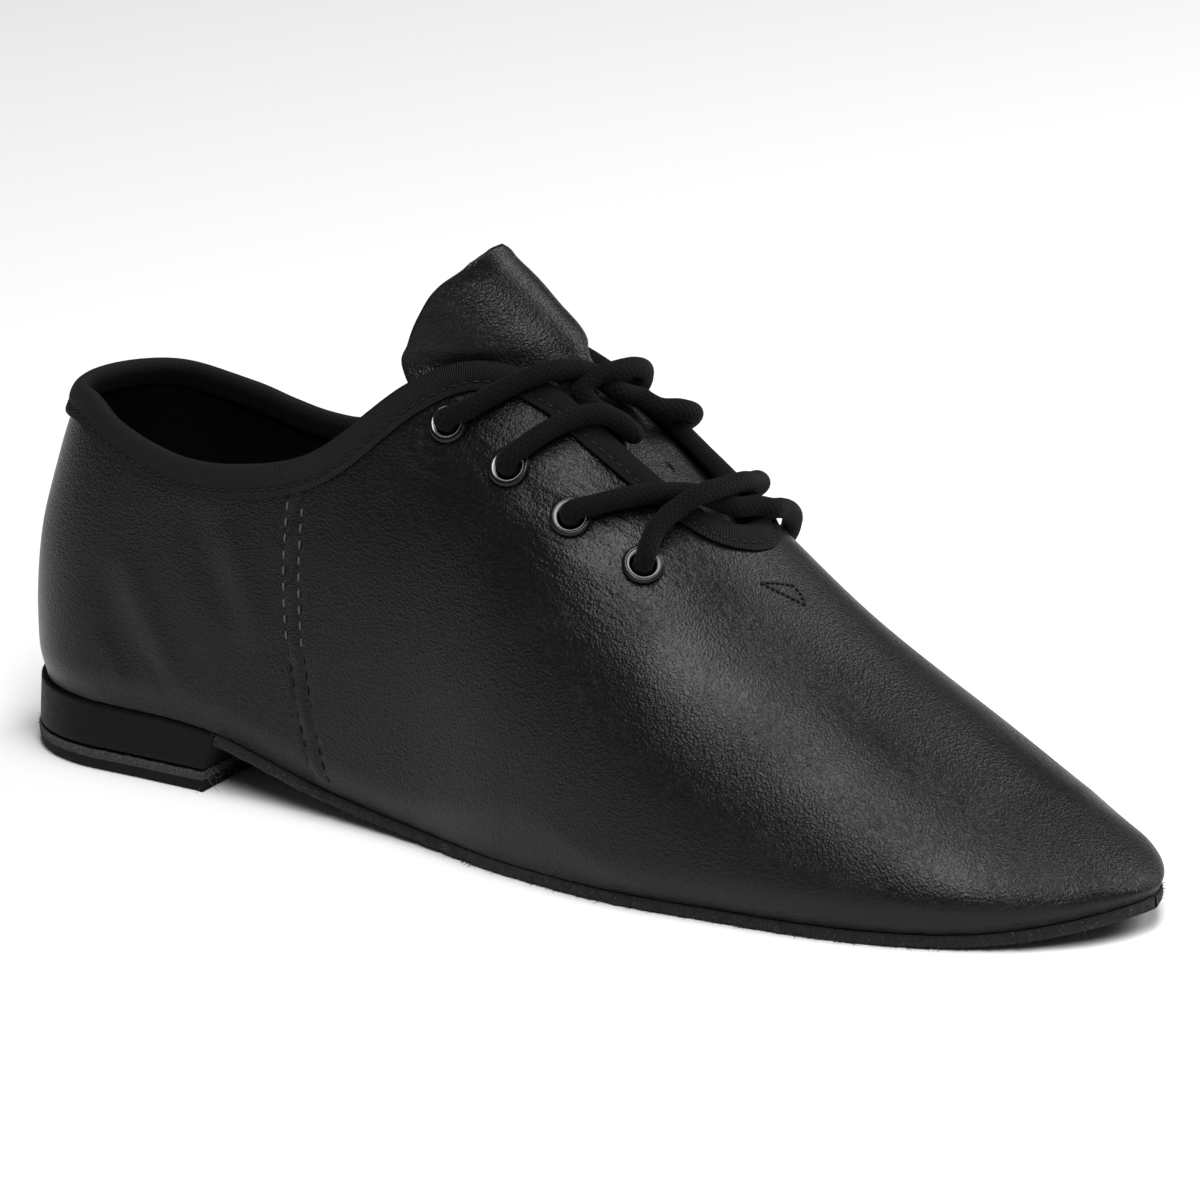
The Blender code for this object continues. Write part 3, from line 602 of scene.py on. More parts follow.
def shell(side, rows, inner):
    """One side of the grid, columns by rows, with its masks. inner: the lining's side."""
    foot, top = columns(side)
    v = np.linspace(0, 1, rows)[None, :]
    x, rise = place(foot[:, None], top[:, None], side, v)
    if inner:
        points = last(x, side, rise, LAP + WALL)
        return points, np.zeros(x.shape)
    points = last(x, side, rise, quarter_inset(len(foot))[:, None])
    z = points[..., 2]
    normal = surface_normal(np.clip(x, 2e-4, LENGTH - 4e-4), side, np.clip(rise, 0.004, 0.995))
    low_fade = np.clip((z - feather(x)) / 0.004, 0, 1)
    relief = folds(x, z, side) + seam_relief(x, z, rise, side)
    return points + (relief * low_fade)[..., None] * normal, throat_pulls(x, z, side)


def ring(rows, inner=False):
    """The grid all the way round: up the outer side to the toe and back down the inner side."""
    outer, outer_mask = shell(-1.0, rows, inner)
    inner_side, inner_mask = shell(1.0, rows, inner)
    return (np.concatenate([outer, inner_side[-2:0:-1]]),
            np.concatenate([outer_mask, inner_mask[-2:0:-1]]))


def flat_fold(grid, height):
    """Lays a grid's lowest row on the sole's line."""
    grid[:, 0, 2] = feather(grid[:, 0, 0] + HEEL_MIDDLE) + height
    return grid


def make_upper():
    """One closed ring of sections: outside up, inside down, and the margin turned in below."""
    outside, pulls = ring(ROWS)
    inside, none = ring(INSIDE_ROWS, inner=True)
    outside, inside = flat_fold(outside, 0.0), flat_fold(inside, WALL)
    fold = outside[:, 0]
    tangent = unit((np.roll(fold, -2, 0) - np.roll(fold, 2, 0))[:, :2])
    under = fold.copy()
    under[:, :2] += MARGIN * np.stack([-tangent[:, 1], tangent[:, 0]], 1)
    under[:, 2] = feather(under[:, 0] + HEEL_MIDDLE)
    above = under + (0, 0, WALL)
    sections = np.concatenate([outside, inside[:, ::-1], above[:, None], under[:, None]], axis=1)
    blank = np.zeros((len(fold), 2))
    masks = {"pull": np.concatenate([pulls, none[:, ::-1], blank], axis=1)}
    return grid_piece("leather_upper", sections, [LEATHER], close=(True, True), masks=masks)


upper = make_upper()
print("points in the leather's grid:", len(upper.data.vertices))

# %% [markdown]
# Each eyelet sits in a round hole punched through the leather. A Boolean modifier cuts all eight
# at once with a set of short cylinders, and the result is kept as a plain mesh.

# %% Holes for the eyelets
EYELET_BORE = 0.0058
EYELET_FLANGE = 0.0088
EYELET_METAL = 0.0004
EYELET_CROWN = 0.0009
TURN_SIDES = 48


def turned(centre, axis, profile, sides=TURN_SIDES):
    """A profile of radius and height carried round an axis: c + r (a cos t + b sin t) + h n."""
    across = unit(np.cross(axis, (0.0, 0.0, 1.0)))
    other = np.cross(axis, across)
    angle = np.linspace(0, 2 * np.pi, sides, endpoint=False)[:, None, None]
    radius, height = profile[:, 0, None], profile[:, 1, None]
    return centre + radius * (np.cos(angle) * across + np.sin(angle) * other) + height * axis


def punch_holes(piece):
    """Cuts a cylinder out of the leather at every eyelet and keeps the result as the mesh."""
    hole = EYELET_BORE / 2 + EYELET_METAL + GAP
    tools = []
    for row in range(len(EYELETS)):
        for side in (-1, 1):
            centre, axis = eyelet_seat(side, row)
            profile = np.array([[0.0, -0.004], [hole, -0.004], [hole, 0.004], [0.0, 0.004]])
            points = turned(centre, axis, profile)
            tool = grid_piece(f"punch_{row}_{side}", points, [], close=(True, False))
            tools.append(tool)
    collection = bpy.data.collections.new("punches")
    for tool in tools:
        bm = bmesh.new()
        bm.from_mesh(tool.data)
        bmesh.ops.remove_doubles(bm, verts=bm.verts, dist=1e-6)
        bmesh.ops.recalc_face_normals(bm, faces=bm.faces)
        bm.to_mesh(tool.data)
        bm.free()
        collection.objects.link(tool)
    cut = piece.modifiers.new("holes", "BOOLEAN")
    cut.operand_type, cut.collection, cut.operation = "COLLECTION", collection, "DIFFERENCE"
    evaluated = piece.evaluated_get(bpy.context.evaluated_depsgraph_get())
    punched = bpy.data.meshes.new_from_object(evaluated)
    piece.modifiers.clear()
    piece.data = punched
    punched.shade_smooth()
    punched.set_sharp_from_angle(angle=np.radians(40))
    for tool in tools:
        bpy.data.objects.remove(tool)
    bpy.data.collections.remove(collection)


punch_holes(upper)
dress(upper, "leather", "upper")

# %% [markdown]
# The eyelets are stamped black metal. A turned profile with a rounded crown catches the light as
# the real ones do, and its inner faces take a second, brighter material: a painted highlight
# along the inner lip.

# %% Eyelets
BLACK_METAL = Finish("eyelet_black", (0.004, 0.004, 0.0043), 0.30, specular=0.3)
# The inner lip's pale, partly metallic colour is a painted highlight.
PAINTED_HIGHLIGHT_LIP = Finish("eyelet_painted_highlight", (0.60, 0.60, 0.61), 0.35, metallic=0.35)


def scratch(finish, scale, amount):
    """Fine scratches: a stretched noise drives the roughness and a faint bump."""
    marks = finish.noise(finish.where(scale=(scale, scale, scale * 4)), 1.0, 4.0)
    finish.shade(roughness=finish.range(marks, 0.3, 0.7, 0.22, 0.42),
                 normal=finish.bump(marks, amount, 0.4))


scratch(BLACK_METAL, 900.0, 0.00003)
scratch(PAINTED_HIGHLIGHT_LIP, 900.0, 0.00002)


def make_eyelet(label, side, row):
    """A barrel through the leather with a crown r = middle - half cos t, h = crown sin(t)^0.8."""
    bore, flange = EYELET_BORE / 2, EYELET_FLANGE / 2
    centre, axis = eyelet_seat(side, row)
    seat = 0.0004
    turn = np.linspace(0, np.pi, 9)
    middle, half = (bore + flange) / 2, (flange - bore) / 2
    crown = np.stack([middle - half * np.cos(turn), seat + EYELET_CROWN * np.sin(turn) ** 0.8], 1)
    end = -(LAP + WALL + 3 * GAP)
    barrel = bore + EYELET_METAL
    profile = np.concatenate([[[bore, end], [bore, end / 2]], crown,
                              [[flange - 0.0004, seat - 0.0002], [barrel, seat - 0.0002],
                               [barrel, end]]])
    piece = grid_piece(f"eyelet_{label}_{row + 1}_ring", turned(centre, axis, profile),
                       [BLACK_METAL.material, PAINTED_HIGHLIGHT_LIP.material], close=(True, True))
    band = np.tile(np.arange(len(profile)), TURN_SIDES)
    # The faces of the inner lip take the painted highlight.
    lip = (band >= 2) & (band <= 4)
    piece.data.polygons.foreach_set("material_index", lip.astype(np.int32))
    dress(piece, "eyelet_metal", f"eyelet_{label}_{row + 1}")


for row in range(len(EYELETS)):
    make_eyelet("outer", -1, row)
    make_eyelet("inner", 1, row)

# %% [markdown]
# Grosgrain tape binds the whole edge. Its ribs run across it, half a millimetre apart. They are a
# sine in the UV map's length, used as bump: as real geometry they would need a thousand columns.
# The tape's body is a profile of (out, up) distances carried round the edge, with a full roll on
# top and a thin stitched skirt below.

# %% Binding
RIB_PITCH = 0.00050
Lip = namedtuple("Lip", "out up")
TAPE_PROFILE = [
    Lip(0.00045, -0.0060),
    Lip(0.00085, -0.0063),
    Lip(0.00105, -0.0059),
    Lip(0.00105, -0.0050),
    Lip(0.00078, -0.0045),
    Lip(0.00105, -0.0040),
    Lip(0.00138, -0.0030),
    Lip(0.00148, -0.0018),
    Lip(0.00128, -0.0004),
    Lip(0.00060, 0.0007),
    Lip(-0.00050, 0.0010),
    Lip(-0.00165, 0.0007),
    Lip(-0.00235, -0.0004),
    Lip(-0.00248, -0.0020),
    Lip(-0.00242, -0.0042),
    Lip(-0.00215, -0.0046),
    Lip(-0.00185, -0.0042),
    Lip(-0.00185, -0.0006),
    Lip(-0.00060, 0.0001),
    Lip(0.00048, -0.0006),
    Lip(0.00048, -0.0040),
]


def tape_finish():
    f = Finish("grosgrain_tape", (0.005, 0.005, 0.0052), 0.78, specular=0.14)
    uv = f.add("ShaderNodeTexCoord").outputs["UV"]
    split = f.add("ShaderNodeSeparateXYZ", {"Vector": uv})
    wobble = f.math("MULTIPLY", f.noise(f.where(), 420.0, 2.0), 0.00018)
    along = f.math("ADD", split.outputs["X"], wobble)
    ribs = f.math("SINE", f.math("MULTIPLY", along, 2 * np.pi / RIB_PITCH))
    ribs = f.math("MULTIPLY", ribs, f.attribute("ribbed"))
    threads = f.noise(f.where(), 5200.0, 2.0)
    normal = f.bump(ribs, 0.00040, 1.0, below=f.bump(threads, 0.00006, 0.5))
    # The colour follows the rib height: painted shade in the grooves and a painted highlight on the
    # rib crests.
    shade = two_tones(f, f.range(ribs, -1.0, 1.0, 0.0, 1.0), (0.0010, 0.0010, 0.0011),
                      (0.0200, 0.0200, 0.0206))
    f.shade(normal=normal, colour=shade)
    return f.material


def edge_frame():
    """Points of the leather's edge, with the outward and the upward direction at each."""
    sides = []
    for side in (-1.0, 1.0):
        dense = THROAT_FOOT * (1 - np.cos(np.linspace(0, np.pi, 1500))) / 2
        x = even_steps(last(dense, side, edge_rise(dense, side)), dense, (0, THROAT_FOOT), (260,))
        rise = edge_rise(x, side)
        at = last(x, side, rise, LAP * 0.5)
        normal = surface_normal(np.clip(x, 1e-3, LENGTH), side, np.minimum(rise, 0.995))
        sides.append((at, normal))
    points, normals = (np.concatenate([outer, inner[-2:0:-1]]) for outer, inner in zip(*sides))
    tangent = unit(np.roll(points, -1, 0) - np.roll(points, 1, 0))
    out = unit(normals - np.sum(normals * tangent, -1, keepdims=True) * tangent)
    up = unit(np.cross(out, tangent))
    up *= np.sign(up[:, 2:3]) if np.mean(up[:, 2]) > 0 else -1
    return points, out, up


def make_binding():
    """Edge point + out * profile's out + up * profile's up, all the way round."""
    points, out, up = edge_frame()
    Knot = namedtuple("Knot", "step out up")
    knots = [Knot(step, *lip) for step, lip in enumerate(TAPE_PROFILE + TAPE_PROFILE[:1])]
    at = np.linspace(0, len(TAPE_PROFILE), 3 * len(TAPE_PROFILE) + 1)[:-1]
    outs = smooth(knots, "step", "out", at)[None, :, None]
    ups = smooth(knots, "step", "up", at)[None, :, None]
    sections = points[:, None] + outs * out[:, None] + ups * up[:, None]
    length = run_length(np.concatenate([points, points[:1]]))
    around = np.linspace(0, 0.02, len(at) + 1)
    front = np.clip((points[:, 0] - 0.050) / 0.025, 0, 1)
    inside = (outs[0, :, 0] < -0.0010)[None, :] * 0.8
    ribbed = np.maximum(0.30 + 0.70 * front[:, None], inside) * np.ones((1, len(at)))
    return grid_piece("tape_binding", sections, [tape_finish()], close=(True, True),
                      uv=(length, around), masks={"ribbed": ribbed})


dress(make_binding(), "binding", "collar_binding")

# %% [markdown]
# The tongue is cut from the same leather. Below the laces it lies under the facings, and above
# them it stands up and curls round the instep.

# %% Tongue
TONGUE = 0.0020
BINDING = 0.0007
TONGUE_FOOT = 0.1860
TONGUE_BEND = 0.1280
TONGUE_HALF = 0.0205
TONGUE_SWEEP = 0.0160
TONGUE_TWIST = 0.0150
TONGUE_SHIFT = 0.0040
TONGUE_ROWS = 120
CORNER_DROP = (0.0012, 0.0030)
Flap = namedtuple("Flap", "forward height middle half twist sweep")
TONGUE_FLAP = [
    Flap(0.984, 0.818, 0.010, 0.600, 0.750, 0.740),
    Flap(0.966, 0.862, 0.030, 0.610, 0.680, 0.640),
    Flap(0.926, 0.913, 0.050, 0.580, 0.480, 0.490),
    Flap(0.886, 0.966, 0.090, 0.500, 0.250, 0.300),
    Flap(0.866, 0.998, 0.150, 0.400, 0.080, 0.160),
    Flap(0.856, 1.016, 0.180, 0.300, 0.030, 0.080),
    Flap(0.852, 1.023, 0.190, 0.190, 0.010, 0.030),
]


def tongue_rows(across):
    """Rows of the tongue's front, from its hidden end to its top."""
    inset = LAP + WALL + 3 * GAP + BINDING
    rows = []
    for share in np.linspace(0, 1, 9):
        middle = TONGUE_FOOT + share * (TONGUE_BEND - TONGUE_FOOT)
        swept = middle + share ** 2 * (TONGUE_TWIST * across - TONGUE_SWEEP * across ** 2)
        arcs = TONGUE_HALF * across - TONGUE_SHIFT * share ** 2
        row = np.array([over(x, arc, 0.0, inset)[0] for x, arc in zip(swept, arcs)])
        run = run_length(row)
        even = np.linspace(0, run[-1], len(row))
        rows.append(np.stack([np.interp(even, run, row[:, k]) for k in range(3)], -1))
    for flap in TONGUE_FLAP:
        x = flap.forward * TONGUE_BEND + TONGUE_HALF * (flap.twist * across - flap.sweep * across ** 2)
        y = TONGUE_HALF * (flap.middle + flap.half * across)
        z = np.full_like(x, flap.height * INSTEP_HEIGHT)
        rows.append(np.stack([x - HEEL_MIDDLE, y, z], -1))
    return np.array(rows)


def refine(rows, count):
    """More rows through a few, by the cubic of smooth() over the distance along the middle."""
    knots = run_length(rows[:, rows.shape[1] // 2])
    slopes = np.gradient(rows, knots, axis=0)
    at = np.linspace(0, knots[-1], count)
    i = np.clip(np.searchsorted(knots, at, side="right") - 1, 0, len(rows) - 2)
    step = (knots[i + 1] - knots[i])[:, None, None]
    t = (at - knots[i])[:, None, None] / step
    return (rows[i] * (1 + 2 * t) * (1 - t) ** 2 + rows[i + 1] * t * t * (3 - 2 * t)
            + step * t * (1 - t) * (slopes[i] * (1 - t) - slopes[i + 1] * t))


def make_tongue():
    """Front rows, rounded off at the top corners, and a back offset inwards along the normals."""
    across = np.sin(np.linspace(-np.pi / 2, np.pi / 2, 49)) * 0.5 + np.linspace(-1, 1, 49) * 0.5
    front = refine(tongue_rows(across), TONGUE_ROWS)
    normal = unit(np.cross(np.gradient(front, axis=0), np.gradient(front, axis=1)))
    u, v = np.meshgrid(np.linspace(0, 1, TONGUE_ROWS), across, indexing="ij")
    normal[-8:] = normal[-9]
    corner = np.clip((u - 0.88) / 0.12, 0, 1) ** 2 * v ** 4
    front[..., 2] -= corner * np.where(v > 0, CORNER_DROP[1], CORNER_DROP[0])
    thick = TONGUE * np.clip(1.02 - np.abs(v) ** 10, 0.35, 1) * np.clip((1.004 - u) / 0.02, 0.35, 1)
    back = front + thick[..., None] * normal
    points = np.concatenate([front, back[:, ::-1]], axis=1)
    blank = np.zeros(points.shape[:2])
    return grid_piece("leather_tongue", points, [LEATHER], close=(False, True), caps=True,
                      masks={"pull": blank})


dress(make_tongue(), "leather", "tongue")

# %% [markdown]
# The laces are round braided cotton, 4.3 mm thick. Each strand comes up through its eyelet, lies
# on the leather, rides over the tape and drops into the throat or crosses to the other side. A
# route is a short list of rows: a share of the way to the throat's foot, an arc round the foot
# from the top line as a share of the eyelets' reach, and a lift in lace diameters. The strands are
# tubes, and the braid is a pattern of two crossing spirals in the tube's own UV map.

# %% Routes of the laces
Lay = namedtuple("Lay", "along arc lift")
LOWER_OVER = [
    Lay(0.941, -0.88, 0.90),
    Lay(0.936, -0.72, 0.88),
    Lay(0.941, -0.53, 1.05),
    Lay(0.950, -0.36, 1.40),
    Lay(0.959, -0.18, 1.28),
    Lay(0.964, 0.00, 1.00),
    Lay(0.963, 0.14, 0.84),
    Lay(0.956, 0.29, 0.80),
    Lay(0.944, 0.46, 0.80),
    Lay(0.921, 0.66, 0.84),
    Lay(0.893, 0.84, 0.90),
    Lay(0.860, 1.01, 0.90),
]
LOWER_UNDER = [
    Lay(0.846, -1.01, 0.90),
    Lay(0.873, -0.84, 0.84),
    Lay(0.901, -0.63, 0.78),
    Lay(0.927, -0.44, 0.78),
    Lay(0.946, -0.30, 0.72),
    Lay(0.963, -0.18, 0.50),
    Lay(0.978, -0.07, 0.50),
    Lay(0.990, 0.02, 0.68),
    Lay(0.996, 0.12, 0.78),
    Lay(0.995, 0.26, 0.78),
    Lay(0.987, 0.46, 0.80),
    Lay(0.972, 0.68, 0.86),
    Lay(0.955, 0.88, 0.90),
]
UPPER_OVER = [
    Lay(0.754, -1.00, 0.90),
    Lay(0.772, -0.84, 0.85),
    Lay(0.789, -0.68, 0.80),
    Lay(0.805, -0.54, 0.82),
    Lay(0.823, -0.42, 0.80),
    Lay(0.843, -0.34, 0.56),
    Lay(0.859, -0.28, 0.12),
    Lay(0.850, -0.25, -0.26),
    Lay(0.828, -0.27, -0.28),
    Lay(0.806, -0.31, -0.26),
    Lay(0.789, -0.28, 0.02),
    Lay(0.791, -0.19, 0.42),
    Lay(0.800, -0.09, 0.68),
    Lay(0.806, 0.03, 0.76),
    Lay(0.805, 0.16, 0.78),
    Lay(0.795, 0.31, 0.78),
    Lay(0.777, 0.50, 0.84),
    Lay(0.748, 0.68, 0.88),
    Lay(0.712, 0.82, 0.90),
    Lay(0.673, 0.93, 0.90),
]
UPPER_UNDER = [
    Lay(0.768, 1.00, 0.90),
    Lay(0.798, 0.80, 0.88),
    Lay(0.829, 0.58, 0.86),
    Lay(0.852, 0.40, 0.84),
    Lay(0.863, 0.27, 0.86),
    Lay(0.862, 0.15, 0.66),
    Lay(0.852, 0.06, 0.20),
    Lay(0.834, 0.01, -0.08),
    Lay(0.812, -0.04, -0.02),
    Lay(0.790, -0.13, 0.12),
    Lay(0.772, -0.25, 0.50),
    Lay(0.754, -0.39, 0.80),
    Lay(0.732, -0.54, 0.80),
    Lay(0.705, -0.72, 0.82),
    Lay(0.684, -0.84, 0.84),
    Lay(0.659, -0.93, 0.90),
]
LACE_TURN = 0.011
LACE_SIDES = 24


def lace_finish():
    f = Finish("braided_lace", (0.004, 0.004, 0.0042), 0.90, specular=0.10)
    split = f.add("ShaderNodeSeparateXYZ", {"Vector": f.add("ShaderNodeTexCoord").outputs["UV"]})
    along = f.math("MULTIPLY", split.outputs["X"], 2 * np.pi / LACE_TURN * 8)
    around = f.math("MULTIPLY", split.outputs["Y"], 2 * np.pi * 8)
    left = f.math("SINE", f.math("ADD", along, around))
    right = f.math("SINE", f.math("SUBTRACT", along, around))
    braid = f.math("MAXIMUM", left, right)
    fluff = f.noise(f.where(), 3800.0, 3.0)
    normal = f.bump(braid, 0.00010, 0.8, below=f.bump(fluff, 0.00010, 0.6))
    # The colour follows the braid height: painted shade between the strands and a painted highlight on
    # their crests.
    colour = two_tones(f, f.range(braid, -0.4, 1.0, 0.0, 1.0), (0.0012, 0.0012, 0.0013),
                       (0.0030, 0.0030, 0.0032))
    f.shade(normal=normal, colour=colour)
    f.set(f.shader, {"Sheen Weight": 0.02, "Sheen Roughness": 0.5})
    return f.material


LACE_BLACK = lace_finish()


def lace_line(lays):
    """A strand's middle line: up through its first eyelet, over the shoe, down through its last."""

    def at(lay, lift):
        return over(lay.along * THROAT_FOOT, lay.arc * EYELET_REACH, lift * LACE)[0]

    rises = (-0.70, -0.10, 0.40, lays[0].lift - 0.22)
    first, final = ([at(lay, lift) for lift in rises] for lay in (lays[0], lays[-1]))
    rough = np.array(first + [at(lay, lay.lift) for lay in lays[1:-1]] + final[::-1])
    return refine(rough[:, None], 14 * len(rough))[:, 0]


def carry(line, radius, sides):
    """Circles of a radius round a line, kept from twisting by one fixed upward direction."""
    forward = unit(np.gradient(line, axis=0))
    across = np.empty_like(forward)
    guide = unit(np.cross(forward[0], (0.3, 0.2, 1.0)))
    for k, direction in enumerate(forward):
        guide = unit(guide - (guide @ direction) * direction)
        across[k] = guide
    other = np.cross(across, forward)
    angle = np.linspace(0, 2 * np.pi, sides, endpoint=False)[None, :, None]
    return line[:, None] + radius * (np.cos(angle) * across[:, None] + np.sin(angle) * other[:, None])


def make_strand(name, lays):
    line = lace_line(lays)
    points = carry(line, LACE / 2, LACE_SIDES)
    uv = (run_length(line), np.linspace(0, 1, LACE_SIDES + 1))
    return grid_piece(name, points, [LACE_BLACK], close=(False, True), uv=uv, caps=True)


dress(make_strand("lace_lower_over", LOWER_OVER), "lace", "lace_crossing_lower")
dress(make_strand("lace_lower_under", LOWER_UNDER), "lace")
dress(make_strand("lace_upper_over", UPPER_OVER), "lace", "lace_crossing_upper")
dress(make_strand("lace_upper_under", UPPER_UNDER), "lace")

# %% [markdown]
# The sole is split suede, cut along the fold of the leather. Its cut edge is rough and fibrous,
# so the edge of the grid is pushed in and out by a few sines of unlike lengths, and a noise bump
# gives the nap.

# %% Suede sole
SOLE_PROUD = 0.0004
NARROWEST = 0.0005


def suede_finish(name, dark, light, scale=2600.0):
    f = Finish(name, dark, 0.95, specular=0.2)
    nap = f.noise(f.where(), scale, 4.0, 0.65)
    tufts = f.cells(f.where(), scale * 0.6)
    height = f.math("ADD", nap, f.math("MULTIPLY", tufts, 0.6))
    f.shade(normal=f.bump(height, 0.00035, 1.0),
            colour=two_tones(f, f.range(nap, 0.35, 0.75, 0.0, 1.0), dark, light))
    f.set(f.shader, {"Sheen Weight": 0.06, "Sheen Roughness": 0.6})
    return f.material


SUEDE = suede_finish("suede", (0.0045, 0.0045, 0.0047), (0.024, 0.023, 0.023))


def ragged(s, amount):
    """An uneven edge: sines of unlike lengths along the distance s in metres."""
    return amount * (np.sin(s * 2 * np.pi / 0.0031) * 0.4 + np.sin(s * 2 * np.pi / 0.0013 + 1.3) * 0.35
                     + np.sin(s * 2 * np.pi / 0.0074 + 0.7) * 0.45
                     + np.sin(s * 2 * np.pi / 0.00071 + 2.1) * 0.25)


def layer_sections(x, grow, low, high, rough):
    """Closed sections of a flat layer whose outline is the fold's, grown in plan."""
    x = x[np.minimum(half_width(x, -1), half_width(x, 1)) > TUCK - grow + NARROWEST]
    rims = {side: last(x, side, 0.0, -grow) for side in (-1, 1)}
    rim_run = run_length(rims[-1])
    sections = []
    inner = np.linspace(-1, 1, 11)
    thick = high - low
    levels = np.array([0.0, 0.12, 0.5, 0.88, 1.0])
    bulge = np.array([-0.35, 0.0, 0.15, 0.0, -0.30]) * thick
    ground = feather(rims[-1][:, 0] + HEEL_MIDDLE)

    def row(y, z):
        sections.append(np.stack([rims[-1][:, 0], y, z], -1))

    def rim(side, order):
        for level, out in list(zip(levels, bulge))[order]:
            wild = ragged(rim_run + 0.013 * side + 0.0021 * level, rough)
            y = rims[side][:, 1] + side * (out + wild)
            row(y, ground + low + level * thick + 0.2 * wild * (level < 0.5))

    left, right = rims[-1][:, 1], rims[1][:, 1]
    for t in inner[1:-1]:
        row(left + (right - left) * (t + 1) / 2, ground + low)
    rim(1, slice(None))
    for t in inner[-2:0:-1]:
        row(left + (right - left) * (t + 1) / 2, ground + high)
    rim(-1, slice(None, None, -1))
    return np.stack(sections, 1)


def make_sole():
    """Sections from the breast to the toe, set closer towards the toe: x = L - (L - x0)(1 - t)^1.7."""
    share = np.linspace(0, 1, 420)
    x = LENGTH - (LENGTH - BREAST - GAP) * (1 - share) ** 1.7
    sections = layer_sections(x, SOLE_PROUD, -GAP - SOLE, -GAP, 0.00022)
    sections[..., 2] = np.maximum(sections[..., 2], 0.0)
    return grid_piece("suede_sole", sections, [SUEDE], close=(False, True), caps=True)


dress(make_sole(), "suede", "sole")

# %% [markdown]
# Inside lies a thin cloth-covered sock. Little of it shows, but the shoe is looked at from above
# as well, so it has a fine weave.

# %% Insole
INSOLE = 0.0020
SOCK_GAP = 0.0016
SOCK_TOE = 0.0060


def cloth_finish(name, colour, pitch):
    f = Finish(name, colour, 0.9, specular=0.2)
    waves = [f.add("ShaderNodeTexWave", {"Vector": f.where(turn=(0, 0, turn)), "Scale": 0.16 / pitch},
                   wave_type="BANDS").outputs["Fac"] for turn in (0.0, np.pi / 2)]
    f.shade(normal=f.bump(f.math("MAXIMUM", *waves), 0.0001, 0.6))
    return f.material


def make_insole():
    x = (LENGTH - SOCK_TOE) * (1 - np.cos(np.linspace(0, np.pi, 160))) / 2
    low = WALL + GAP
    sections = layer_sections(x, -LAP - WALL - SOCK_GAP, low, low + INSOLE, 0.0)
    look = cloth_finish("sock_cloth", (0.010, 0.010, 0.011), 0.0008)
    return grid_piece("cloth_insole", sections, [look], close=(False, True), caps=True)


dress(make_insole(), "lining", "insole")

# %% [markdown]
# The heel is a block with a rubber top lift under it. Both follow the fold of the leather round
# the back and are cut straight at the breast. The lift's upper edge is frayed, and its paler
# colour is a painted highlight where the protruding cut edge catches the light.

# %% Heel
HEEL_BACK = 0.0004
HEEL_BACK_HALF = 0.0008


def heel_outline(grow, front):
    """Round at the back, straight across the front: x from t squared, y from the half width."""
    t = np.linspace(0, 1, 90) ** 2
    x = t * (front - HEEL_BACK) + HEEL_BACK
    rows = []
    for side, order in ((-1, slice(None)), (1, slice(None, None, -1))):
        y = side * np.maximum(half_width(x, side) - TUCK, HEEL_BACK_HALF)
        rows.append(np.stack([x, y], -1)[order])
    outline = np.concatenate(rows)
    away = unit(outline - (HEEL_MIDDLE, 0.0))
    return outline + grow * away * (np.abs(outline[:, :1] - front) > 1e-9)


def heel_sections(levels, fray=0.0):
    """Outlines at (height, growth, front) levels; a height may be a function of x."""
    sections = []
    for height, grow, front in levels:
        outline = heel_outline(grow, front)
        z = height(outline[:, 0]) if callable(height) else np.full(len(outline), height)
        s = run_length(outline)
        if fray:
            z = z + ragged(s, fray) * (z > 0.7 * LIFT)
        sections.append(np.column_stack([outline[:, 0] - HEEL_MIDDLE, outline[:, 1], z]))
    return np.stack(sections)


def heel_finish(name, colour, roughness, streaks):
    f = Finish(name, colour, roughness, specular=0.12)
    marks = f.noise(f.where(scale=(300, 300, 2400)), 1.0, 4.0)
    f.shade(normal=f.bump(marks, streaks, 0.7),
            roughness=f.range(marks, 0.3, 0.7, roughness - 0.1, roughness + 0.1))
    return f.material


def make_heel():
    """The block from the lift to the leather's fold, and the lift with a painted highlight on its
    frayed top edge.
    """
    front = BREAST - BREAST_RAKE
    foot = LIFT + GAP

    def seat(drop):
        return lambda x: feather(x) - GAP - drop

    def part_way(share):
        return lambda x: foot + share * (feather(x) - GAP - foot)

    block = [(foot, -0.0004, front), (foot + 0.0004, 0.0003, front)]
    block += [(part_way(t), 0.0004 - 0.0004 * t, front + t * BREAST_RAKE)
              for t in np.linspace(0.1, 0.9, 9)]
    block += [(seat(0.0004), 0.0, BREAST), (seat(0.0), -0.0005, BREAST)]
    look = heel_finish("heel_black", (0.0035, 0.0035, 0.0037), 0.55, 0.00006)
    piece = grid_piece("heel_stack", heel_sections(block), [look], close=(False, True), caps=True)
    dress(piece, "heel_block", "heel_block")
    lip = 0.0006
    lift = [(0.0, -0.0012, front - 0.0006), (0.0003, -0.0002, front), (0.0016, lip - 0.0002, front),
            (0.6 * LIFT, lip, front), (0.86 * LIFT, lip + 0.0001, front), (LIFT, lip - 0.0003, front)]
    look = heel_finish("lift_rubber", (0.0075, 0.0074, 0.0072), 0.8, 0.00012)
    # The lift's upper edge is really frayed, and its paler colour is a painted highlight.
    frayed_highlight = suede_finish("frayed_edge_painted_highlight", (0.012, 0.012, 0.012), (0.075, 0.072, 0.070))
    sections = heel_sections(lift, 0.00012)
    piece = grid_piece("heel_lift", sections, [look, frayed_highlight], close=(False, True), caps=True)
    level = np.arange(len(piece.data.polygons)) // sections.shape[1]
    painted_highlight_faces = (level >= 3) & (level < len(lift) - 1)
    piece.data.polygons.foreach_set("material_index", painted_highlight_faces.astype(np.int32))
    dress(piece, "top_lift", "heel_top_lift")


make_heel()

# %% [markdown]
# Stitches are tiny capsules. One function lays a whole row of them along a line, all in one mesh:
# each is a circle carried along a short piece of the line, swollen in the middle.


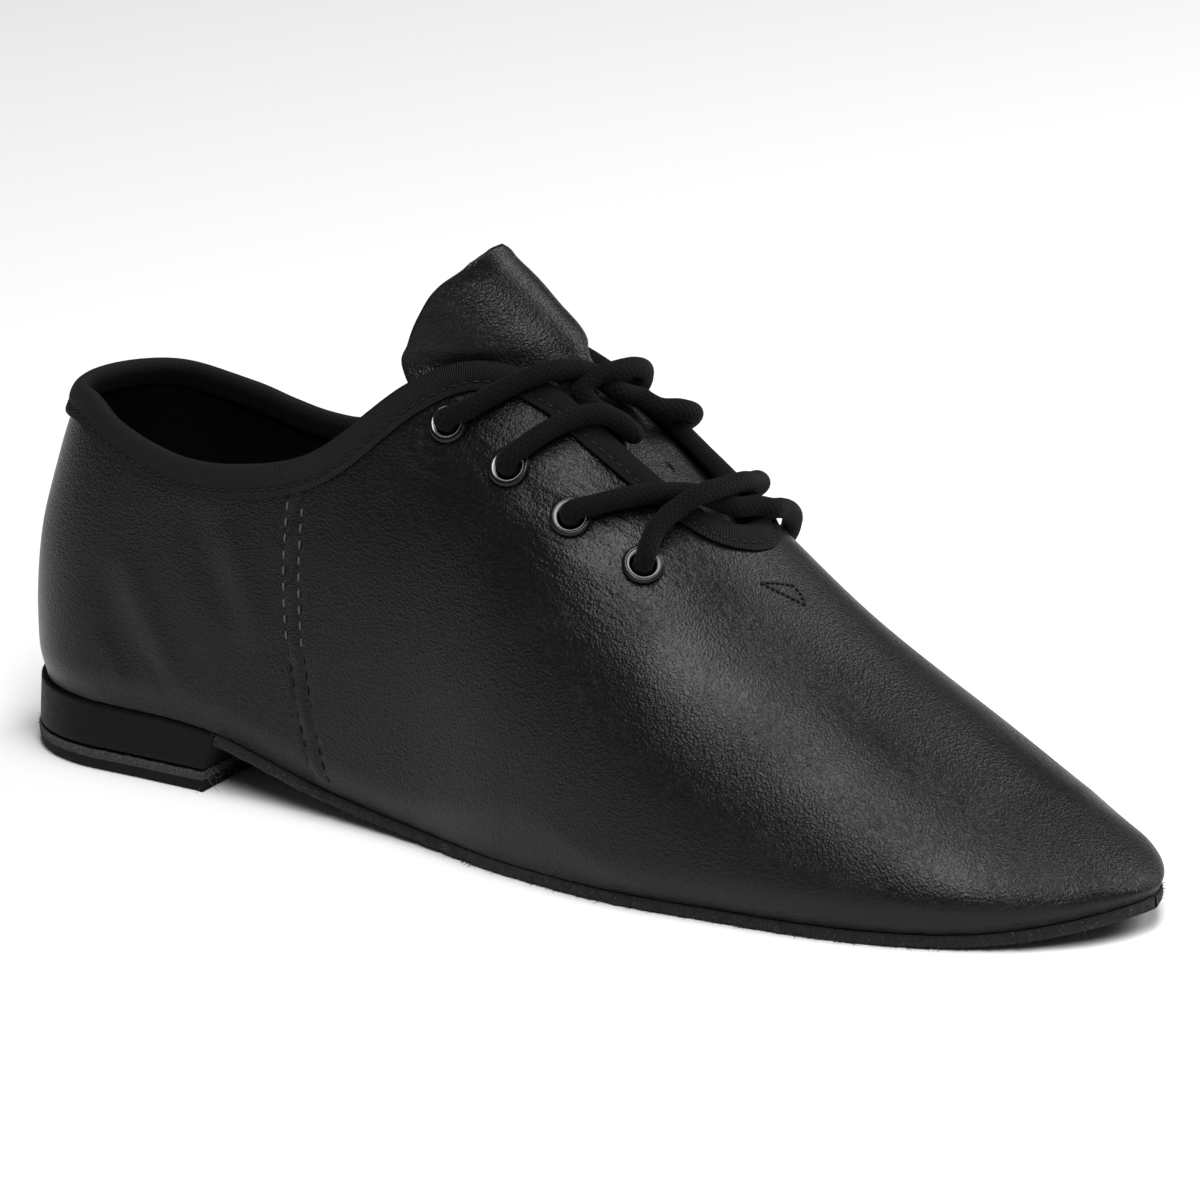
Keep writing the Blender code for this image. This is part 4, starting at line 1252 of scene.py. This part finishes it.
# %% Stitches
def thread_finish(name, colour):
    f = Finish(name, colour, 0.7, specular=0.35)
    f.shade(normal=f.bump(f.noise(f.where(), 6000.0, 2.0), 0.00005, 0.6))
    return f.material


BLACK_THREAD = thread_finish("black_thread", (0.003, 0.003, 0.0032))
GREY_THREAD = thread_finish("grey_thread", (0.065, 0.065, 0.067))


def bundle(name, points, look, slot):
    """Many short closed tubes in one mesh, from points by tube, row and corner."""
    n, r, k = points.shape[:3]
    tube, row, corner = np.meshgrid(np.arange(n), np.arange(r - 1), np.arange(k), indexing="ij")
    low, high, after = tube * r * k + row * k, tube * r * k + (row + 1) * k, (corner + 1) % k
    quads = np.stack([low + corner, high + corner, high + after, low + after], -1)
    ends = (np.arange(n)[:, None] * r * k + np.concatenate([[0], [(r - 1) * k]])[None]).reshape(-1, 1)
    caps = ends + np.arange(k)
    mesh = bpy.data.meshes.new(name)
    mesh.from_pydata(points.reshape(-1, 3).tolist(), [], quads.reshape(-1, 4).tolist() + caps.tolist())
    turn_outwards(mesh)
    mesh.materials.append(look)
    piece = bpy.data.objects.new(name, mesh)
    bpy.context.scene.collection.objects.link(piece)
    return dress(piece, slot)


def stitch_row(name, line, normals, pitch, length, radius, look):
    """Capsules of radius r sqrt(1 - (2t)^4) along a line, each a length long, a pitch apart."""
    run = run_length(line)
    count = int(run[-1] / pitch)
    start = (np.arange(count) + 0.5) * run[-1] / count

    def at(values, s):
        return np.stack([np.interp(s, run, values[:, k]) for k in range(3)], -1)

    t = np.linspace(-0.5, 0.5, 7)
    s = start[:, None] + t * length
    centre = at(line, s)
    up = unit(at(normals, s))
    forward = unit(np.gradient(centre, axis=1))
    side = unit(np.cross(up, forward))
    swell = radius * np.maximum(1 - (2 * t) ** 4, 0.02) ** 0.5
    arch = 0.7 * radius * (1 - (2 * t) ** 2)
    angle = np.linspace(0, 2 * np.pi, 8, endpoint=False)
    circle = (np.cos(angle)[:, None] * side[:, :, None] + np.sin(angle)[:, None] * up[:, :, None])
    points = centre[:, :, None] + arch[None, :, None, None] * up[:, :, None]
    points = points + swell[None, :, None, None] * circle
    return bundle(name, points, look, "leather")


SEAM_SPLIT = 95


def seam_stitches(side, offset, name):
    """One row beside the seam's middle, from the sole to the tape, grey in its upper half."""
    rise = np.linspace(0.03, 0.90, 200) * edge_rise(SEAM_TOP, side)
    x = seam_line(rise, side) + offset
    normals = surface_normal(x, side, rise)
    line = last(x, side, rise) - 0.00022 * normals
    label = f"{name}_{'outer' if side < 0 else 'inner'}"
    for half, part, length, radius, thread in (
            ("low", slice(None, SEAM_SPLIT), 0.0022, 0.00022, BLACK_THREAD),
            ("high", slice(SEAM_SPLIT, None), 0.0020, 0.00024, GREY_THREAD)):
        stitch_row(f"{label}_{half}", line[part], normals[part], STITCH_PITCH, length, radius, thread)


for side in (-1.0, 1.0):
    seam_stitches(side, -SEAM_HALF, "seam_rear")
    seam_stitches(side, SEAM_HALF, "seam_front")


def tape_stitches():
    """One row in the tape's groove, all the way round."""
    points, out, up = edge_frame()
    line = points + 0.00085 * out - 0.0044 * up
    line = np.concatenate([line, line[:1]])
    normals = np.concatenate([out, out[:1]])
    stitch_row("tape_stitches", line, normals, 0.0024, 0.0018, 0.00020, BLACK_THREAD)


tape_stitches()

# %% [markdown]
# Below the throat a small triangle of close stitches keeps it from tearing.

# %% Bar tack
TACK = [(0.1757, -0.0106), (0.1800, -0.0021), (0.1835, -0.0044)]


def tack_stitches():
    """Stitches along the triangle's three sides, straight in plan and laid on the leather."""
    corners = np.array([*TACK, TACK[0]])
    for k in range(3):
        t = np.linspace(0, 1, 12)[:, None]
        plan = corners[k] * (1 - t) + corners[k + 1] * t
        found = [over(x, arc, 0.00005) for x, arc in plan]
        line, normals = np.array([p for p, _ in found]), np.array([n for _, n in found])
        stitch_row(f"tack_{k + 1}", line, normals, 0.0011, 0.0010, 0.00026, BLACK_THREAD)


tack_stitches()

# %% [markdown]
# Suede and worn edges end in short bent hairs. Each hair starts at a root on the edge, leans out in
# a direction drawn from a seeded random generator, and droops with the square of its length.


# %% Hairs
def hairs(name, roots, away, length, radius, look, slot):
    """Tubes root + size (t lean + t^2 curl), t from 0 to 1, thinner towards the tip."""
    random = np.random.default_rng(len(roots))
    leaning = unit(away + 0.55 * random.normal(size=roots.shape))
    curl = 0.45 * random.normal(size=roots.shape) - (0, 0, 0.35)
    size = length * random.uniform(0.3, 1.0, (len(roots), 1))
    t = np.linspace(0, 1, 4)[None, :, None]
    centre = roots[:, None] + size[:, None] * (t * leaning[:, None] + t * t * curl[:, None])
    centre[..., 2] = np.maximum(centre[..., 2], radius)
    forward = unit(np.gradient(centre, axis=1))
    across = unit(np.cross(forward, (0.31, 0.42, 0.85)))
    other = np.cross(forward, across)
    angle = np.linspace(0, 2 * np.pi, 4, endpoint=False)[:, None]
    circle = np.cos(angle) * across[:, :, None] + np.sin(angle) * other[:, :, None]
    thin = radius * (1 - 0.7 * t)[..., None]
    return bundle(name, centre[:, :, None] + thin * circle, look, slot)


# Pale hairs are a painted highlight: fibres painted light where they catch the light. The dark ones
# have the edge's own colour.
PAINTED_HIGHLIGHT_HAIR = thread_finish("hair_painted_highlight", (0.11, 0.105, 0.10))
DARK_HAIR = thread_finish("dark_hair", (0.012, 0.012, 0.012))


def edge_hairs():
    """Hairs on the sole's cut edge, thicker set towards the toe, and on the heel's frayed edges; the
    pale ones carry a painted highlight.
    """
    random = np.random.default_rng(3)
    for look, count, name in ((DARK_HAIR, 1300, "dark"), (PAINTED_HIGHLIGHT_HAIR, 260, "pale")):
        share = random.uniform(0, 1, count) ** 0.75
        x = BREAST + 0.012 + share * (LENGTH - BREAST - 0.0125)
        side = np.where(random.uniform(0, 1, count) < 0.6, -1.0, 1.0)
        rim = last(x, side, 0.0, -SOLE_PROUD)
        roots = rim - np.stack([0 * x, 0 * x, GAP + SOLE * random.uniform(0.1, 0.9, count)], -1)
        away = unit((rim - (0.15, 0.0, 0.0)) * (0.35, 1.0, 0.0))
        hairs(f"sole_hairs_{name}", roots, away, 0.0011, 0.00006, look, "suede")
    outline = heel_outline(0.0005, BREAST - BREAST_RAKE)
    pick = random.integers(0, len(outline), 420)
    roots = np.column_stack([outline[pick, 0] - HEEL_MIDDLE, outline[pick, 1],
                             LIFT - random.uniform(0.0, 0.0007, 420)])
    hairs("heel_hairs", roots, unit(roots * (1.0, 1.0, 0.0)), 0.0007, 0.00005, PAINTED_HIGHLIGHT_HAIR, "top_lift")
    y = random.uniform(-0.022, 0.022, 110)
    roots = np.column_stack([np.full(110, BREAST - BREAST_RAKE - HEEL_MIDDLE), y,
                             LIFT * random.uniform(0.3, 1.1, 110)])
    hairs("breast_hairs", roots, np.tile((1.0, -0.5, -0.2), (110, 1)), 0.0028, 0.00007, PAINTED_HIGHLIGHT_HAIR,
          "top_lift")


edge_hairs()

# %% [markdown]
# The shoe stands on a white sweep. A long soft light hangs over its front: mirrored in the vamp it
# is the broad band of gloss that tells leather from cloth. A second one behind lights the tongue
# and throws a soft shadow towards the camera, and the world is nearly dark, so the side stays black.


# %% Floor and lights
def make_floor():
    corners = np.array([[[-4.0, -4.0, 0], [-4.0, 6.0, 0]], [[4.0, -4.0, 0], [4.0, 6.0, 0]]])
    look = Finish("white_paper", (0.93, 0.93, 0.93), 0.9, specular=0.1)
    floor = grid_piece("floor", corners, [look.material])


def area_light(name, place, aim, size, power):
    data = bpy.data.lights.new(name, "AREA")
    data.shape, data.size, data.size_y, data.energy = "RECTANGLE", size[0], size[1], power
    light = bpy.data.objects.new(name, data)
    light.location = place
    away = np.array(place) - np.array(aim)
    yaw = np.arctan2(away[0], -away[1])
    light.rotation_euler = (np.arctan2(np.hypot(away[0], away[1]), away[2]), 0, yaw)
    bpy.context.scene.collection.objects.link(light)


make_floor()
area_light("overhead", (0.55, -0.55, 1.45), (0.20, 0.0, 0.0), (0.65, 1.7), 36)
area_light("behind", (0.90, 1.05, 0.95), (0.10, 0.0, 0.05), (1.0, 0.7), 12)
world = bpy.data.worlds.new("studio")
world.use_nodes = True
world.node_tree.nodes["Background"].inputs["Color"].default_value = (1, 1, 1, 1)
world.node_tree.nodes["Background"].inputs["Strength"].default_value = 0.08
bpy.context.scene.world = world
bpy.context.scene.view_settings.view_transform = "Standard"
